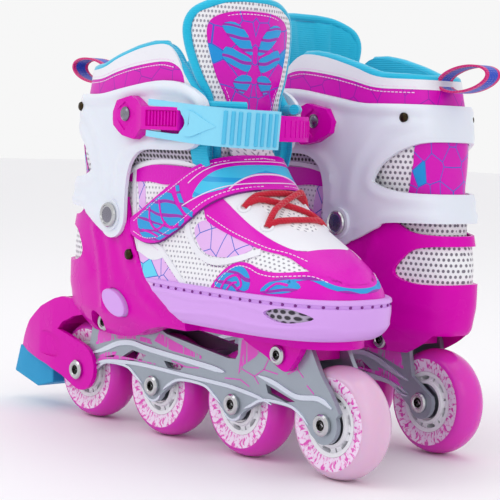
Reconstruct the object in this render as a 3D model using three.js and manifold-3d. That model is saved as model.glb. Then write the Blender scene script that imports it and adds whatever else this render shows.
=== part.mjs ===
// A pair of adjustable children's inline skates, in millimetres, +Z up.
// Each skate is built in its own frame: X forward, Y to the left, Z up, with the origin on the ground
// below the middle of the wheelbase. The left skate is the right one mirrored, without the heel brake.
import * as THREE from "three";
import { ParametricGeometry } from "three/addons/geometries/ParametricGeometry.js";
import { mergeVertices } from "three/addons/utils/BufferGeometryUtils.js";
import Module from "manifold-3d";

const wasm = await Module();
wasm.setup();

// ---- driving dimensions ----
const GAP = 0.3; // between faces that touch or sit in each other
const WHEEL_COUNT = 4;
const WHEEL_RADIUS = 32;
const WHEEL_HALF_WIDTH = 11;
const AXLE_PITCH = 76;
const WHEEL_SIDES = 20;
const BEARING_RADIUS = 11;
const BEARING_WIDTH = 7;
const HUB_HALF_WIDTH = 10.4;
const SPACER_RADIUS = 6;
const AXLE_RADIUS = 4;
const AXLE_HEAD_RADIUS = 6.2;
const AXLE_HEAD_HEIGHT = 2.4;
const ROUND_SIDES = 10;

const PLATE_INNER = 12; // half the distance between the frame's two side plates
const PLATE_THICKNESS = 3;
const FRAME_TOP = 73;
const LOBE_RADIUS = 10;
const WEB_HALF = 4; // half the length of each cross web between two wheels
const MOUNT_BOLT_Z = 67;
const FRONT_BOLT_X = 81;
const REAR_BOLT_X = -83;
const BOLT_RADIUS = 3;
const BOLT_HEAD_RADIUS = 5.6;
const CHEEK_THICKNESS = 4.5;

const SOLE_THICKNESS = 5;
const SHELL_HALF_WIDTH = 34.8; // heel shell, outside, where it is widest
const SHELL_WALL = 2.2;
const HEEL_BACK = -133;
const WING_ROOT = 20; // where the wings of the heel shell reach their full width
const PIVOT = { x: -58, z: 137 };
const PIVOT_TAB_RADIUS = 14;
const RIVET_RADIUS = 4;
const RIVET_HEAD_RADIUS = 7.5;
const RIVET_HEAD_HEIGHT = 2;
const RIVET_REACH = 5.6; // from the inside of the heel shell to the end of the rivet

const CUFF_WALL = 2.5;
const CUFF_HALF_WIDTH = SHELL_HALF_WIDTH + 2 * GAP; // cuff, inside, as it swings over the heel shell
const CUFF_TOP = 219;
const LINER_WALL = 5;
const LINER_TOP = 241;
const TONGUE_TOP = 268;
const TONGUE_THICKNESS = 4;
const TONGUE_FRONT = 24;
const TONGUE_SAG = 6.588; // how far the tongue curves back where it meets the sides of the liner
const THROAT = CUFF_HALF_WIDTH - GAP * 4 - LINER_WALL; // half the room inside the liner
const TONGUE_BEND = (THROAT ** 2 + TONGUE_SAG ** 2) / (2 * TONGUE_SAG);

const TOE_FRONT = 131.5;
const TOE_FLARE = 7.2; // how much wider the toe shell is than the heel shell, on each side
const TOE_HALF_WIDTH = SHELL_HALF_WIDTH + TOE_FLARE;
const TOE_WALL = 2.5;
const TOE_TOP = 102;
const TOE_REAR = -38;
const SLIDE_ROOM = 1.6; // on each side of the toe unit where it runs inside the heel shell
const SLIDE_HALF_WIDTH = SHELL_HALF_WIDTH - SHELL_WALL - SLIDE_ROOM;
const UPPER_WALL = 2.5;
const UPPER_TOP = 160;

const BUTTON = { x: -53, z: 83, long: 12.5, short: 6.8, tilt: -0.45, depth: 4.5 };
const LEVER_PIN = { x: -10, z: 197 };
const LEVER_PIN_RADIUS = 1.6;
const LEVER_HEIGHT = 22;
const LEVER_TILT = 0.07;
const LEVER_THICKNESS = 4;
const ARM_HEIGHT = 3.6;
const LADDER_HEIGHT = 15;
const LADDER_THICKNESS = 2.2;
const STRAP_WIDTH = 23;
const STRAP_TOP = 165;
const LACE_RADIUS = 2;
const BRAKE_HALF_WIDTH = 18.3;
const PAD_HALF_WIDTH = 12.5;

const PAIR_DISTANCE = 109.5; // from the right skate's middle plane to the left skate's origin
const PAIR_SHIFT = -24;
const PAIR_TURN = THREE.MathUtils.degToRad(177.7);

// ---- solids ----
// A closed three.js geometry as a solid, turned so that its faces point out.
function solid(geometry) {
  const bare = geometry.clone();
  bare.deleteAttribute("normal");
  bare.deleteAttribute("uv");
  const merged = mergeVertices(bare, 1e-3);
  const triVerts = [];
  for (let i = 0; i < merged.index.count; i += 3) {
    const [a, b, c] = [0, 1, 2].map((k) => merged.index.getX(i + k));
    if (a !== b && b !== c && a !== c) triVerts.push(a, b, c);
  }
  const make = (indices) =>
    new wasm.Manifold(
      new wasm.Mesh({
        numProp: 3,
        vertProperties: new Float32Array(merged.attributes.position.array),
        triVerts: new Uint32Array(indices),
      }),
    );
  const made = make(triVerts);
  return made.volume() > 0 ? made : make(triVerts.reverse());
}

function geometryOf(manifold) {
  const mesh = manifold.getMesh();
  const stride = mesh.numProp;
  const count = mesh.vertProperties.length / stride;
  const positions = new Float32Array(count * 3);
  for (let i = 0; i < count; i++)
    for (let k = 0; k < 3; k++) positions[i * 3 + k] = mesh.vertProperties[i * stride + k];
  const geometry = new THREE.BufferGeometry();
  geometry.setAttribute("position", new THREE.BufferAttribute(positions, 3));
  geometry.setIndex([...mesh.triVerts]);
  geometry.computeVertexNormals();
  return geometry;
}

function box(x0, x1, y0, y1, z0, z1) {
  const geometry = new THREE.BoxGeometry(x1 - x0, y1 - y0, z1 - z0);
  return solid(geometry.translate((x0 + x1) / 2, (y0 + y1) / 2, (z0 + z1) / 2));
}

// The same box on both sides of the middle plane.
function boxPair(x0, x1, y0, y1, z0, z1) {
  return box(x0, x1, y0, y1, z0, z1).add(box(x0, x1, -y1, -y0, z0, z1));
}

function shapeOf(points) {
  return new THREE.Shape(points.map(([a, b]) => new THREE.Vector2(a, b)));
}

// A side-view outline (x, z) with thickness from y0 to y1.
function sidePlate(shape, y0, y1, curveSegments = 6) {
  const settings = { depth: y1 - y0, bevelEnabled: false, curveSegments };
  const geometry = new THREE.ExtrudeGeometry(shape, settings);
  return solid(geometry.rotateX(Math.PI / 2).translate(0, y1, 0));
}

// A plan-view outline (x, y) with height from z0 to z1.
function planPlate(shape, z0, z1, curveSegments = 6) {
  const settings = { depth: z1 - z0, bevelEnabled: false, curveSegments };
  return solid(new THREE.ExtrudeGeometry(shape, settings).translate(0, 0, z0));
}

// A round solid about a line along Y, from a profile of [radius, y] points.
function roundAlongY(profile, x, z, sides = ROUND_SIDES) {
  const points = profile.map(([radius, y]) => new THREE.Vector2(radius, y));
  const geometry = new THREE.LatheGeometry(points, sides);
  return solid(geometry.rotateY(Math.PI / sides).translate(x, 0, z));
}

function pin(radius, x, z, y0, y1, sides = ROUND_SIDES) {
  return roundAlongY([[0, y0], [radius, y0], [radius, y1], [0, y1]], x, z, sides);
}

// The radius of a many-sided hole whose flats clear a pin by the gap.
function holeRadius(radius, sides = ROUND_SIDES) {
  return (radius + GAP) / Math.cos(Math.PI / sides);
}

// One point of a boot section: a rounded outline with its own back, front and half width.
function sectionPoint(level, angle, power) {
  const c = Math.cos(angle);
  const s = Math.sin(angle);
  const reach = c > 0 ? level.front - level.mid : level.mid - level.back;
  const x = level.mid + reach * Math.sign(c) * Math.abs(c) ** (2 / power);
  const y = level.half * Math.sign(s) * Math.abs(s) ** (2 / power);
  return [x, y];
}

// A closed solid through boot sections stacked up Z.
function loft(levels, power = 3, slices = 20) {
  const stacks = levels.length + 1;
  const place = (u, v, target) => {
    const step = Math.round(v * stacks);
    const level = levels[Math.min(Math.max(step - 1, 0), levels.length - 1)];
    const atPole = step === 0 || step === stacks;
    const [x, y] = atPole ? [level.mid, 0] : sectionPoint(level, u * 2 * Math.PI, power);
    target.set(x, y, level.z);
  };
  return solid(new ParametricGeometry(place, slices, stacks));
}

// The same sections drawn in by a wall, or out where the wall is negative.
function inset(levels, wall) {
  return levels.map((level) => ({
    z: level.z,
    back: level.back + wall,
    mid: level.mid,
    front: level.front - wall,
    half: level.half - wall,
  }));
}

// The same sections with their two ends moved past the solid, to cut right through it.
function stretched(levels, below, above) {
  const first = { ...levels[0], z: levels[0].z - below };
  const last = { ...levels[levels.length - 1], z: levels[levels.length - 1].z + above };
  return [first, ...levels, last];
}

// How high the surface of a boot loft stands above a plan point.
function surfaceHeight(levels, x, y, power) {
  for (let i = levels.length - 1; i > 0; i--) {
    const upper = levels[i];
    const lower = levels[i - 1];
    for (let step = 0; step < 12; step++) {
      const t = step / 12;
      const mix = (key) => upper[key] + (lower[key] - upper[key]) * t;
      const reach = x > mix("mid") ? mix("front") - mix("mid") : mix("mid") - mix("back");
      const inside = Math.abs((x - mix("mid")) / reach) ** power + Math.abs(y / mix("half")) ** power;
      if (inside < 1) return mix("z");
    }
  }
  return levels[0].z;
}

// A plan-view band: a curve through points with a thickness on its left side.
function bandShape(points, from, to) {
  const curve = new THREE.CatmullRomCurve3(points.map(([x, y]) => new THREE.Vector3(x, y, 0)));
  const steps = 14;
  const inner = [];
  const outer = [];
  for (let i = 0; i <= steps; i++) {
    const at = curve.getPointAt(i / steps);
    const along = curve.getTangentAt(i / steps);
    inner.push([at.x + along.y * from, at.y - along.x * from]);
    outer.push([at.x + along.y * to, at.y - along.x * to]);
  }
  return shapeOf([...inner, ...outer.reverse()]);
}

// ---- materials ----
function material(color, roughness, metalness = 0) {
  return new THREE.MeshStandardMaterial({ color, roughness, metalness });
}

const MATERIALS = {
  shell: material("#d400ae", 0.35),
  cuff: material("#f2f3f7", 0.35),
  toe: material("#d9a8f0", 0.4),
  lever: material("#8fdcf5", 0.4),
  pad: material("#0a9cd2", 0.6),
  frame: material("#9aa4ae", 0.35, 0.8),
  steel: material("#8d8f92", 0.3, 1),
  tyre: material("#d830b8", 0.3),
  clearTyre: material("#f0b8dc", 0.25),
  bearing: material("#55585c", 0.4, 0.9),
  fabric: material("#f0eef4", 0.8),
  tongue: material("#d000ac", 0.7),
  strap: material("#d400ae", 0.6),
  lace: material("#d00040", 0.8),
};

const axleX = (index) => (index - (WHEEL_COUNT - 1) / 2) * AXLE_PITCH;
const PLATE_OUTER = PLATE_INNER + PLATE_THICKNESS;
const SOLE_TOP = FRAME_TOP + GAP + SOLE_THICKNESS;
const CHEEK_OUTER = PLATE_OUTER + GAP + CHEEK_THICKNESS;
const FAR = 400;

// ---- wheels, bearings and axles ----
function wheelSolid(index) {
  const flat = Math.cos(Math.PI / WHEEL_SIDES);
  const bore = (BEARING_RADIUS + GAP) / flat;
  const rim = WHEEL_RADIUS / flat;
  const half = [
    [bore, HUB_HALF_WIDTH],
    [rim * 0.62, HUB_HALF_WIDTH * 0.93],
    [rim * 0.78, WHEEL_HALF_WIDTH],
    [rim * 0.94, WHEEL_HALF_WIDTH * 0.64],
  ];
  const mirrored = half.map(([r, y]) => [r, -y]).reverse();
  const profile = [...half, [rim, 0], ...mirrored, half[0]];
  return roundAlongY(profile, axleX(index), WHEEL_RADIUS, WHEEL_SIDES);
}

function bearingSolid(index) {
  const bore = holeRadius(AXLE_RADIUS);
  const outer = HUB_HALF_WIDTH;
  const inner = HUB_HALF_WIDTH - BEARING_WIDTH;
  const profile = [
    [bore, outer],
    [BEARING_RADIUS, outer],
    [BEARING_RADIUS, inner],
    [SPACER_RADIUS, inner],
    [SPACER_RADIUS, -inner],
    [BEARING_RADIUS, -inner],
    [BEARING_RADIUS, -outer],
    [bore, -outer],
    [bore, outer],
  ];
  return roundAlongY(profile, axleX(index), WHEEL_RADIUS);
}

// A bolt across the frame with a round head at each end.
function crossBolt(radius, headRadius, headHeight, seat, x, z) {
  const end = seat + headHeight;
  const profile = [
    [0, -end],
    [headRadius, -end],
    [headRadius, -seat],
    [radius, -seat],
    [radius, seat],
    [headRadius, seat],
    [headRadius, end],
    [0, end],
  ];
  return roundAlongY(profile, x, z);
}

// ---- frame ----
function frameOutline() {
  const [x1, x2, x3, x4] = [0, 1, 2, 3].map(axleX);
  const z = WHEEL_RADIUS;
  const r = LOBE_RADIUS;
  const shape = new THREE.Shape();
  shape.moveTo(x1 + 12, FRAME_TOP - 6);
  shape.lineTo(x1 + 17, FRAME_TOP);
  shape.lineTo(x2 + 4, FRAME_TOP);
  shape.lineTo(x2 + 7, z + 34);
  shape.lineTo(x3 - 3, z + 26);
  shape.lineTo(x3 + 3, z + 30);
  shape.lineTo(x3 + 3, FRAME_TOP);
  shape.lineTo(FRONT_BOLT_X + 21, FRAME_TOP);
  shape.lineTo(x4 - 3, z + 26);
  shape.lineTo(x4 + r + 3, z + 6);
  shape.absarc(x4, z, r + 1, 0.2, -1.7, true);
  shape.lineTo(x4 - 26, z + 5);
  shape.lineTo(x3 + 26, z + 5);
  shape.absarc(x3, z, r, -0.6, -2.5, true);
  shape.lineTo(x3 - 27, z + 6);
  shape.lineTo(x2 + 27, z + 6);
  shape.absarc(x2, z, r, -0.6, -2.5, true);
  shape.lineTo(x2 - 27, z + 7);
  shape.lineTo(x1 + 26, z + 7);
  shape.absarc(x1, z, r, -0.5, -3.6, true);
  shape.lineTo(x1 + 9, z + 15);
  return shape;
}

function frameSolid() {
  const outline = frameOutline();
  let frame = sidePlate(outline, PLATE_INNER, PLATE_OUTER, 3).add(
    sidePlate(outline, -PLATE_OUTER, -PLATE_INNER, 3),
  );
  const slots = [
    [[axleX(1) - 38, 43], [axleX(1) - 22, 51.5], [axleX(1) - 8, 50], [axleX(1) - 13, 45.5]],
    [[axleX(1) + 10, 49], [axleX(2) - 46, 48.5], [axleX(2) - 50, 45], [axleX(1) + 14, 45]],
    [[axleX(2) + 28, 48], [axleX(3) - 23, 41.5], [axleX(3) - 30, 40], [axleX(2) + 30, 43]],
  ];
  for (const slot of slots) frame = frame.subtract(sidePlate(shapeOf(slot), -FAR, FAR));
  const webs = [
    [axleX(0.5), 52, 62],
    [axleX(1.5), 46, 58],
    [axleX(2.5), 50, 62],
  ];
  for (const [x, z0, z1] of webs)
    frame = frame.add(box(x - WEB_HALF, x + WEB_HALF, -PLATE_OUTER, PLATE_OUTER, z0, z1));
  for (let i = 0; i < WHEEL_COUNT; i++) {
    const seat = HUB_HALF_WIDTH + GAP;
    for (const side of [-1, 1]) {
      const [y0, y1] = side < 0 ? [-PLATE_INNER - 0.5, -seat] : [seat, PLATE_INNER + 0.5];
      frame = frame.add(pin(AXLE_RADIUS + 2, axleX(i), WHEEL_RADIUS, y0, y1));
    }
    const hole = pin(holeRadius(AXLE_RADIUS), axleX(i), WHEEL_RADIUS, -FAR, FAR);
    frame = frame.subtract(hole);
  }
  for (const x of [FRONT_BOLT_X, REAR_BOLT_X])
    frame = frame.subtract(pin(holeRadius(BOLT_RADIUS), x, MOUNT_BOLT_Z, -FAR, FAR));
  return frame;
}

// ---- heel shell with its sole plate and mounting blocks ----
const HEEL_LEVELS = [
  { z: 60, back: HEEL_BACK + 22, half: SHELL_HALF_WIDTH - 9 },
  { z: 70, back: HEEL_BACK + 8, half: SHELL_HALF_WIDTH - 3 },
  { z: SOLE_TOP - SOLE_THICKNESS + 4, back: HEEL_BACK + 2, half: SHELL_HALF_WIDTH },
  { z: 92, back: HEEL_BACK, half: SHELL_HALF_WIDTH },
  { z: 112, back: HEEL_BACK, half: SHELL_HALF_WIDTH },
  { z: 134, back: HEEL_BACK + 4, half: SHELL_HALF_WIDTH },
  { z: 150, back: HEEL_BACK + 11, half: SHELL_HALF_WIDTH },
].map((level) => ({ ...level, mid: WING_ROOT, front: WING_ROOT + 40 }));
const HEEL_POWER = 2.8;

// Side view of the wing's front edge, from the sole up to the rim.
function wingEdge(shift) {
  return [
    [15 + shift, SOLE_TOP + 1],
    [6 + shift, 85],
    [-19 + shift, 99],
    [-28 + shift, 109],
    [-39 + shift, 125],
    [PIVOT.x + 11 + shift, PIVOT.z + 3],
  ];
}

function buttonShape(grow) {
  const shape = new THREE.Shape();
  const { x, z, long, short, tilt } = BUTTON;
  shape.absellipse(x, z, long + grow, short + grow, 0, 2 * Math.PI, false, tilt);
  return shape;
}

function heelShellSolid() {
  const outline = shapeOf([
    [-160, 60],
    [-62, 61],
    [-31, 66],
    [-10, FRAME_TOP + GAP],
    [15, FRAME_TOP + GAP],
    ...wingEdge(0),
    [PIVOT.x + 8, PIVOT.z + 11],
    [PIVOT.x - 27, PIVOT.z + 11],
    [PIVOT.x - 42, PIVOT.z + 2],
    [PIVOT.x - 57, PIVOT.z - 3.4],
    [-160, PIVOT.z - 3.6],
  ]);
  let shell = loft(HEEL_LEVELS, HEEL_POWER).intersect(sidePlate(outline, -FAR, FAR));
  const inside = inset(HEEL_LEVELS, SHELL_WALL).filter((level) => level.z > 75);
  inside[0].z = SOLE_TOP;
  shell = shell.subtract(loft(stretched(inside, 0, 60), HEEL_POWER));
  shell = shell.subtract(box(-FAR, FAR, -PLATE_OUTER - GAP, PLATE_OUTER + GAP, -FAR, FRAME_TOP + GAP));

  const soleOutline = new THREE.Shape();
  soleOutline.moveTo(-60, -24);
  soleOutline.lineTo(95, -24);
  soleOutline.absarc(95, 0, 24, -Math.PI / 2, Math.PI / 2, false);
  soleOutline.lineTo(-60, 24);
  shell = shell.add(planPlate(soleOutline, FRAME_TOP + GAP, SOLE_TOP));

  const blockHalf = PLATE_INNER - GAP;
  const over = 1;
  shell = shell.add(box(-100, -60, -blockHalf, blockHalf, MOUNT_BOLT_Z - 2, SOLE_TOP - over));
  shell = shell.add(box(64, 98, -blockHalf, blockHalf, MOUNT_BOLT_Z - 2, SOLE_TOP - over));
  const cheek = shapeOf([
    [FRONT_BOLT_X - 31, SOLE_TOP - over],
    [FRONT_BOLT_X - 30, 72],
    [FRONT_BOLT_X + 4, 59],
    [FRONT_BOLT_X + 9, 60],
    [FRONT_BOLT_X + 20, SOLE_TOP - over],
  ]);
  const inner = PLATE_OUTER + GAP;
  shell = shell.add(sidePlate(cheek, inner, CHEEK_OUTER)).add(sidePlate(cheek, -CHEEK_OUTER, -inner));

  // Flat seats round the rear mounting bolt, then the bolt, rivet and button holes.
  shell = shell.subtract(
    pin(BOLT_HEAD_RADIUS + 2, REAR_BOLT_X, MOUNT_BOLT_Z, CHEEK_OUTER, FAR).add(
      pin(BOLT_HEAD_RADIUS + 2, REAR_BOLT_X, MOUNT_BOLT_Z, -FAR, -CHEEK_OUTER),
    ),
  );
  for (const x of [FRONT_BOLT_X, REAR_BOLT_X])
    shell = shell.subtract(pin(holeRadius(BOLT_RADIUS), x, MOUNT_BOLT_Z, -FAR, FAR));
  shell = shell.subtract(pin(holeRadius(RIVET_RADIUS), PIVOT.x, PIVOT.z, -FAR, FAR));
  shell = shell.subtract(sidePlate(buttonShape(GAP * 1.5), -FAR, -20, 5));
  return shell;
}

function buttonSolid() {
  const face = -SHELL_HALF_WIDTH - 1;
  return sidePlate(buttonShape(0), face, face + BUTTON.depth, 5);
}

// ---- toe unit: shell, upper, instep strap and laces ----
const TOE_LEVELS = [
  { z: SOLE_TOP + GAP, front: TOE_FRONT - 9, half: TOE_HALF_WIDTH - 4 },
  { z: SOLE_TOP + 5, front: TOE_FRONT - 3, half: TOE_HALF_WIDTH - 0.5 },
  { z: TOE_TOP - 7, front: TOE_FRONT, half: TOE_HALF_WIDTH },
  { z: TOE_TOP, front: TOE_FRONT - 1, half: TOE_HALF_WIDTH - 0.5 },
].map((level) => ({ ...level, back: -70, mid: 62 }));
const UPPER_FOOT = inset(TOE_LEVELS, TOE_WALL + GAP * 2);
UPPER_FOOT[0].z += TOE_WALL + GAP;
const UPPER_LEVELS = [
  ...UPPER_FOOT,
  { z: 115, mid: 52, front: TOE_FRONT - 14, half: TOE_HALF_WIDTH - 5.5 },
  { z: 127, mid: 36, front: TOE_FRONT - 33, half: TOE_HALF_WIDTH - 7.5 },
  { z: 138, mid: 24, front: TOE_FRONT - 54, half: TOE_HALF_WIDTH - 9 },
  { z: 150, mid: 12, front: TOE_FRONT - 73, half: TOE_HALF_WIDTH - 9.5 },
  { z: UPPER_TOP, mid: 8, front: TOE_FRONT - 84, half: TOE_HALF_WIDTH - 10 },
].map((level) => ({ ...level, back: -67 }));
const TOE_POWER = 2.6;

// The room that the heel shell's wings need on both sides of the toe unit.
function wingRoom() {
  const edge = wingEdge(0.6);
  const room = shapeOf([[-FAR, 50], [edge[0][0], 50], ...edge, [edge[5][0], 200], [-FAR, 200]]);
  return sidePlate(room, SLIDE_HALF_WIDTH, FAR).add(sidePlate(room, -FAR, -SLIDE_HALF_WIDTH));
}

function toeShellSolid() {
  const outer = loft(TOE_LEVELS, TOE_POWER);
  const levels = inset(TOE_LEVELS, TOE_WALL);
  levels[0].z += TOE_WALL;
  const inner = loft(stretched(levels, 0, 20), TOE_POWER);
  return outer
    .subtract(inner)
    .subtract(wingRoom())
    .subtract(box(-FAR, TOE_REAR, -FAR, FAR, 0, FAR));
}

function upperSolid() {
  const outer = loft(UPPER_LEVELS, TOE_POWER);
  const inner = loft(stretched(inset(UPPER_LEVELS, UPPER_WALL), 20, 20), TOE_POWER);
  return outer
    .subtract(inner)
    .subtract(wingRoom())
    .subtract(box(-FAR, TOE_REAR, -FAR, FAR, 0, FAR));
}

// A band round the instep: the skin outside the upper, inside a tilted slab.
function instepStrapSolid() {
  const skin = loft(inset(stretched(UPPER_LEVELS, 0, 22), -3.2), TOE_POWER).subtract(
    loft(inset(stretched(UPPER_LEVELS, 5, 30), -GAP * 2), TOE_POWER),
  );
  const slab = new THREE.BoxGeometry(120, 200, STRAP_WIDTH).rotateY(-0.5).translate(10, 0, 152);
  return skin
    .intersect(solid(slab))
    .subtract(wingRoom())
    .intersect(box(-30, FAR, -FAR, FAR, 0, STRAP_TOP));
}

function laceSolid() {
  const rows = 4;
  const points = [];
  for (let row = 0; row < rows; row++) {
    const x = 58 + row * 9;
    const side = row % 2 === 0 ? 1 : -1;
    for (const across of [-15, -8, 0, 8, 15]) {
      const y = across * side;
      const skew = (across / 15) * 3;
      const height = surfaceHeight(UPPER_LEVELS, x + skew, y, TOE_POWER);
      points.push(new THREE.Vector3(x + skew, y, height + LACE_RADIUS + 2.2));
    }
  }
  const path = new THREE.CatmullRomCurve3(points);
  const section = new THREE.Shape();
  section.absarc(0, 0, LACE_RADIUS, 0, 2 * Math.PI, false);
  const settings = { steps: 36, extrudePath: path, curveSegments: 3 };
  return solid(new THREE.ExtrudeGeometry(section, settings));
}

// ---- cuff unit: cuff, liner, tongue and buckle ----
const CUFF_LEVELS = [
  { z: 120, back: -124, mid: 20, front: 60 },
  { z: 141, back: -124, mid: 20, front: 60 },
  { z: 160, back: -119.5, mid: 15, front: 58 },
  { z: 190, back: -117, mid: 8, front: 52 },
  { z: 206, back: -114, mid: 6, front: 50 },
  { z: 224, back: -108, mid: 5, front: 48 },
].map((level) => ({ ...level, half: CUFF_HALF_WIDTH }));
const CUFF_POWER = 3.4;

function cuffSolid() {
  const outline = new THREE.Shape();
  outline.moveTo(-170, CUFF_TOP - 8);
  outline.lineTo(-73, CUFF_TOP - 8);
  outline.lineTo(-52, CUFF_TOP - 5);
  outline.lineTo(-15, CUFF_TOP);
  outline.lineTo(12, CUFF_TOP - 2);
  outline.lineTo(26, CUFF_TOP - 8);
  outline.lineTo(31, CUFF_TOP - 14);
  outline.lineTo(26, 184);
  outline.lineTo(18, 179);
  outline.lineTo(-25, 178);
  outline.lineTo(-39, 171);
  outline.lineTo(-44, 160);
  outline.absarc(PIVOT.x, PIVOT.z, PIVOT_TAB_RADIUS, 0, -2.3, true);
  outline.lineTo(-85, 135);
  outline.lineTo(-100, 140);
  outline.lineTo(-170, 141);
  const outer = loft(inset(CUFF_LEVELS, -CUFF_WALL), CUFF_POWER, 22);
  const inner = loft(stretched(CUFF_LEVELS, 9, 20), CUFF_POWER, 22);
  const window = shapeOf([
    [-86, 164],
    [-92, 174],
    [-106, 184],
    [-122, 189],
    [-170, 190],
    [-170, 158],
    [-112, 158],
    [-96, 160],
  ]);
  let cuff = outer.intersect(sidePlate(outline, -FAR, FAR));
  const seat = CUFF_HALF_WIDTH + CUFF_WALL;
  cuff = cuff.add(
    pin(RIVET_HEAD_RADIUS + 2, PIVOT.x, PIVOT.z, -seat, seat).intersect(
      boxPair(-FAR, FAR, seat - 4, seat, 0, FAR),
    ),
  );
  return cuff
    .subtract(inner)
    .subtract(sidePlate(window, -FAR, FAR))
    .subtract(pin(holeRadius(RIVET_RADIUS), PIVOT.x, PIVOT.z, -FAR, FAR));
}

function rivetSolid(side) {
  const seat = CUFF_HALF_WIDTH + CUFF_WALL + GAP;
  const inside = SHELL_HALF_WIDTH - SHELL_WALL - RIVET_REACH;
  const profile = [
    [0, -seat - RIVET_HEAD_HEIGHT],
    [RIVET_HEAD_RADIUS, -seat - RIVET_HEAD_HEIGHT],
    [RIVET_HEAD_RADIUS, -seat],
    [RIVET_RADIUS, -seat],
    [RIVET_RADIUS, -inside - 1.5],
    [RIVET_HEAD_RADIUS, -inside - 1.5],
    [RIVET_HEAD_RADIUS, -inside],
    [0, -inside],
  ];
  const turned = profile.map(([r, y]) => [r, -y * side]);
  return roundAlongY(turned, PIVOT.x, PIVOT.z);
}

function linerSolid() {
  const slim = inset(CUFF_LEVELS, GAP * 4);
  slim[slim.length - 1].z = LINER_TOP + 4;
  const outline = shapeOf([
    [-170, 226],
    [-80, 227],
    [-62, 233],
    [-22, LINER_TOP],
    [-6, LINER_TOP - 5],
    [6, 222],
    [21, 206],
    [21, 185],
    [-20, 174],
    [-46, 158],
    [-60, 152],
    [-170, 148],
  ]);
  const hollow = stretched(inset(slim, LINER_WALL), 20, 20);
  let liner = loft(slim, CUFF_POWER, 22).subtract(loft(hollow, CUFF_POWER, 24));
  liner = liner.intersect(sidePlate(outline, -FAR, FAR));
  const loop = new THREE.Shape();
  loop.absellipse(-127, 227, 21, 8.5, 0, 2 * Math.PI, false, -0.15);
  const eye = new THREE.Path();
  eye.absellipse(-127, 227, 18.5, 6, 0, 2 * Math.PI, false, -0.15);
  loop.holes.push(eye);
  const webbing = sidePlate(loop, -6, 6, 5).intersect(box(-200, -108.5, -50, 50, 214, 240));
  return liner.add(webbing);
}

function tongueSolid() {
  const centre = TONGUE_FRONT - TONGUE_BEND;
  const ring = (radius) => {
    const geometry = new THREE.CylinderGeometry(radius, radius, 200, 40);
    return solid(geometry.rotateX(Math.PI / 2).translate(centre, 0, 220));
  };
  const edge = [
    [THROAT - 7.2, 190],
    [THROAT - 3.2, 205],
    [THROAT - 1.7, 212],
    [THROAT + 3.8, 223],
    [THROAT + 8.8, 238],
    [THROAT + 10.8, 250],
    [THROAT + 7.8, 258],
    [THROAT - 2.2, TONGUE_TOP - 3],
  ];
  const mirrored = edge.map(([y, z]) => [-y, z]).reverse();
  const face = shapeOf([...edge, [0, TONGUE_TOP], ...mirrored]);
  const settings = { depth: 80, bevelEnabled: false };
  const slab = new THREE.ExtrudeGeometry(face, settings).rotateX(Math.PI / 2).rotateZ(Math.PI / 2);
  return ring(TONGUE_BEND)
    .subtract(ring(TONGUE_BEND - TONGUE_THICKNESS))
    .intersect(solid(slab.translate(-10, 0, 0)));
}

const BUCKLE_Y = -CUFF_HALF_WIDTH - CUFF_WALL - GAP; // the cuff's outer face under the buckle
const PIN_Y = BUCKLE_Y - 5.5;
const ARM_PATH = [
  [LEVER_PIN.x - 3, PIN_Y],
  [20, PIN_Y - 0.4],
  [35, PIN_Y + 1.5],
  [48, PIN_Y + 10.7],
  [54.5, PIN_Y + 23.7],
  [57, PIN_Y + 38.7],
];

function tiltToBuckle(part) {
  const turn = THREE.MathUtils.radToDeg(LEVER_TILT);
  return part
    .translate([-LEVER_PIN.x, 0, -LEVER_PIN.z])
    .rotate([0, turn, 0])
    .translate([LEVER_PIN.x, 0, LEVER_PIN.z]);
}

function leverSolid() {
  const z = LEVER_PIN.z;
  const half = LEVER_HEIGHT / 2;
  let lever = planPlate(bandShape(ARM_PATH, -LEVER_THICKNESS / 2, LEVER_THICKNESS / 2), z - half, z + half);
  const gap = half - ARM_HEIGHT;
  lever = lever.subtract(box(LEVER_PIN.x - 20, 22, -80, 0, z - gap, z + gap));
  const bore = new THREE.CylinderGeometry(LEVER_PIN_RADIUS + GAP, LEVER_PIN_RADIUS + GAP, 60, 10);
  const hole = solid(bore.rotateX(Math.PI / 2).translate(LEVER_PIN.x, PIN_Y, z));
  return tiltToBuckle(lever.subtract(hole));
}

function buckleBaseSolid() {
  const z = LEVER_PIN.z;
  const neck = LEVER_HEIGHT / 2 - ARM_HEIGHT - GAP * 2;
  const plan = shapeOf([
    [-54, BUCKLE_Y],
    [-53, BUCKLE_Y - 3],
    [-44, BUCKLE_Y - 5],
    [-26, BUCKLE_Y - 6],
    [-18, BUCKLE_Y - 8],
    [16, BUCKLE_Y - 8],
    [17, BUCKLE_Y - 6.5],
    [17, BUCKLE_Y - 3.3],
    [-12, BUCKLE_Y - 2.8],
    [-16, BUCKLE_Y],
  ]);
  const side = shapeOf([
    [-54, z + 2],
    [-48, z + 10],
    [-32, z + 13],
    [-27, z + 11],
    [-19, z + neck],
    [18, z + neck],
    [18, z - neck],
    [-19, z - neck],
    [-28, z - 13],
    [-40, z - 11],
    [-52, z - 5],
  ]);
  const body = planPlate(plan, z - 30, z + 30).intersect(sidePlate(side, -FAR, FAR));
  const reach = LEVER_HEIGHT / 2;
  const rod = new THREE.CylinderGeometry(LEVER_PIN_RADIUS, LEVER_PIN_RADIUS, 2 * reach, 8);
  const pinSolid = solid(rod.rotateX(Math.PI / 2).translate(LEVER_PIN.x, PIN_Y, z));
  return tiltToBuckle(body.add(pinSolid));
}

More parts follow.
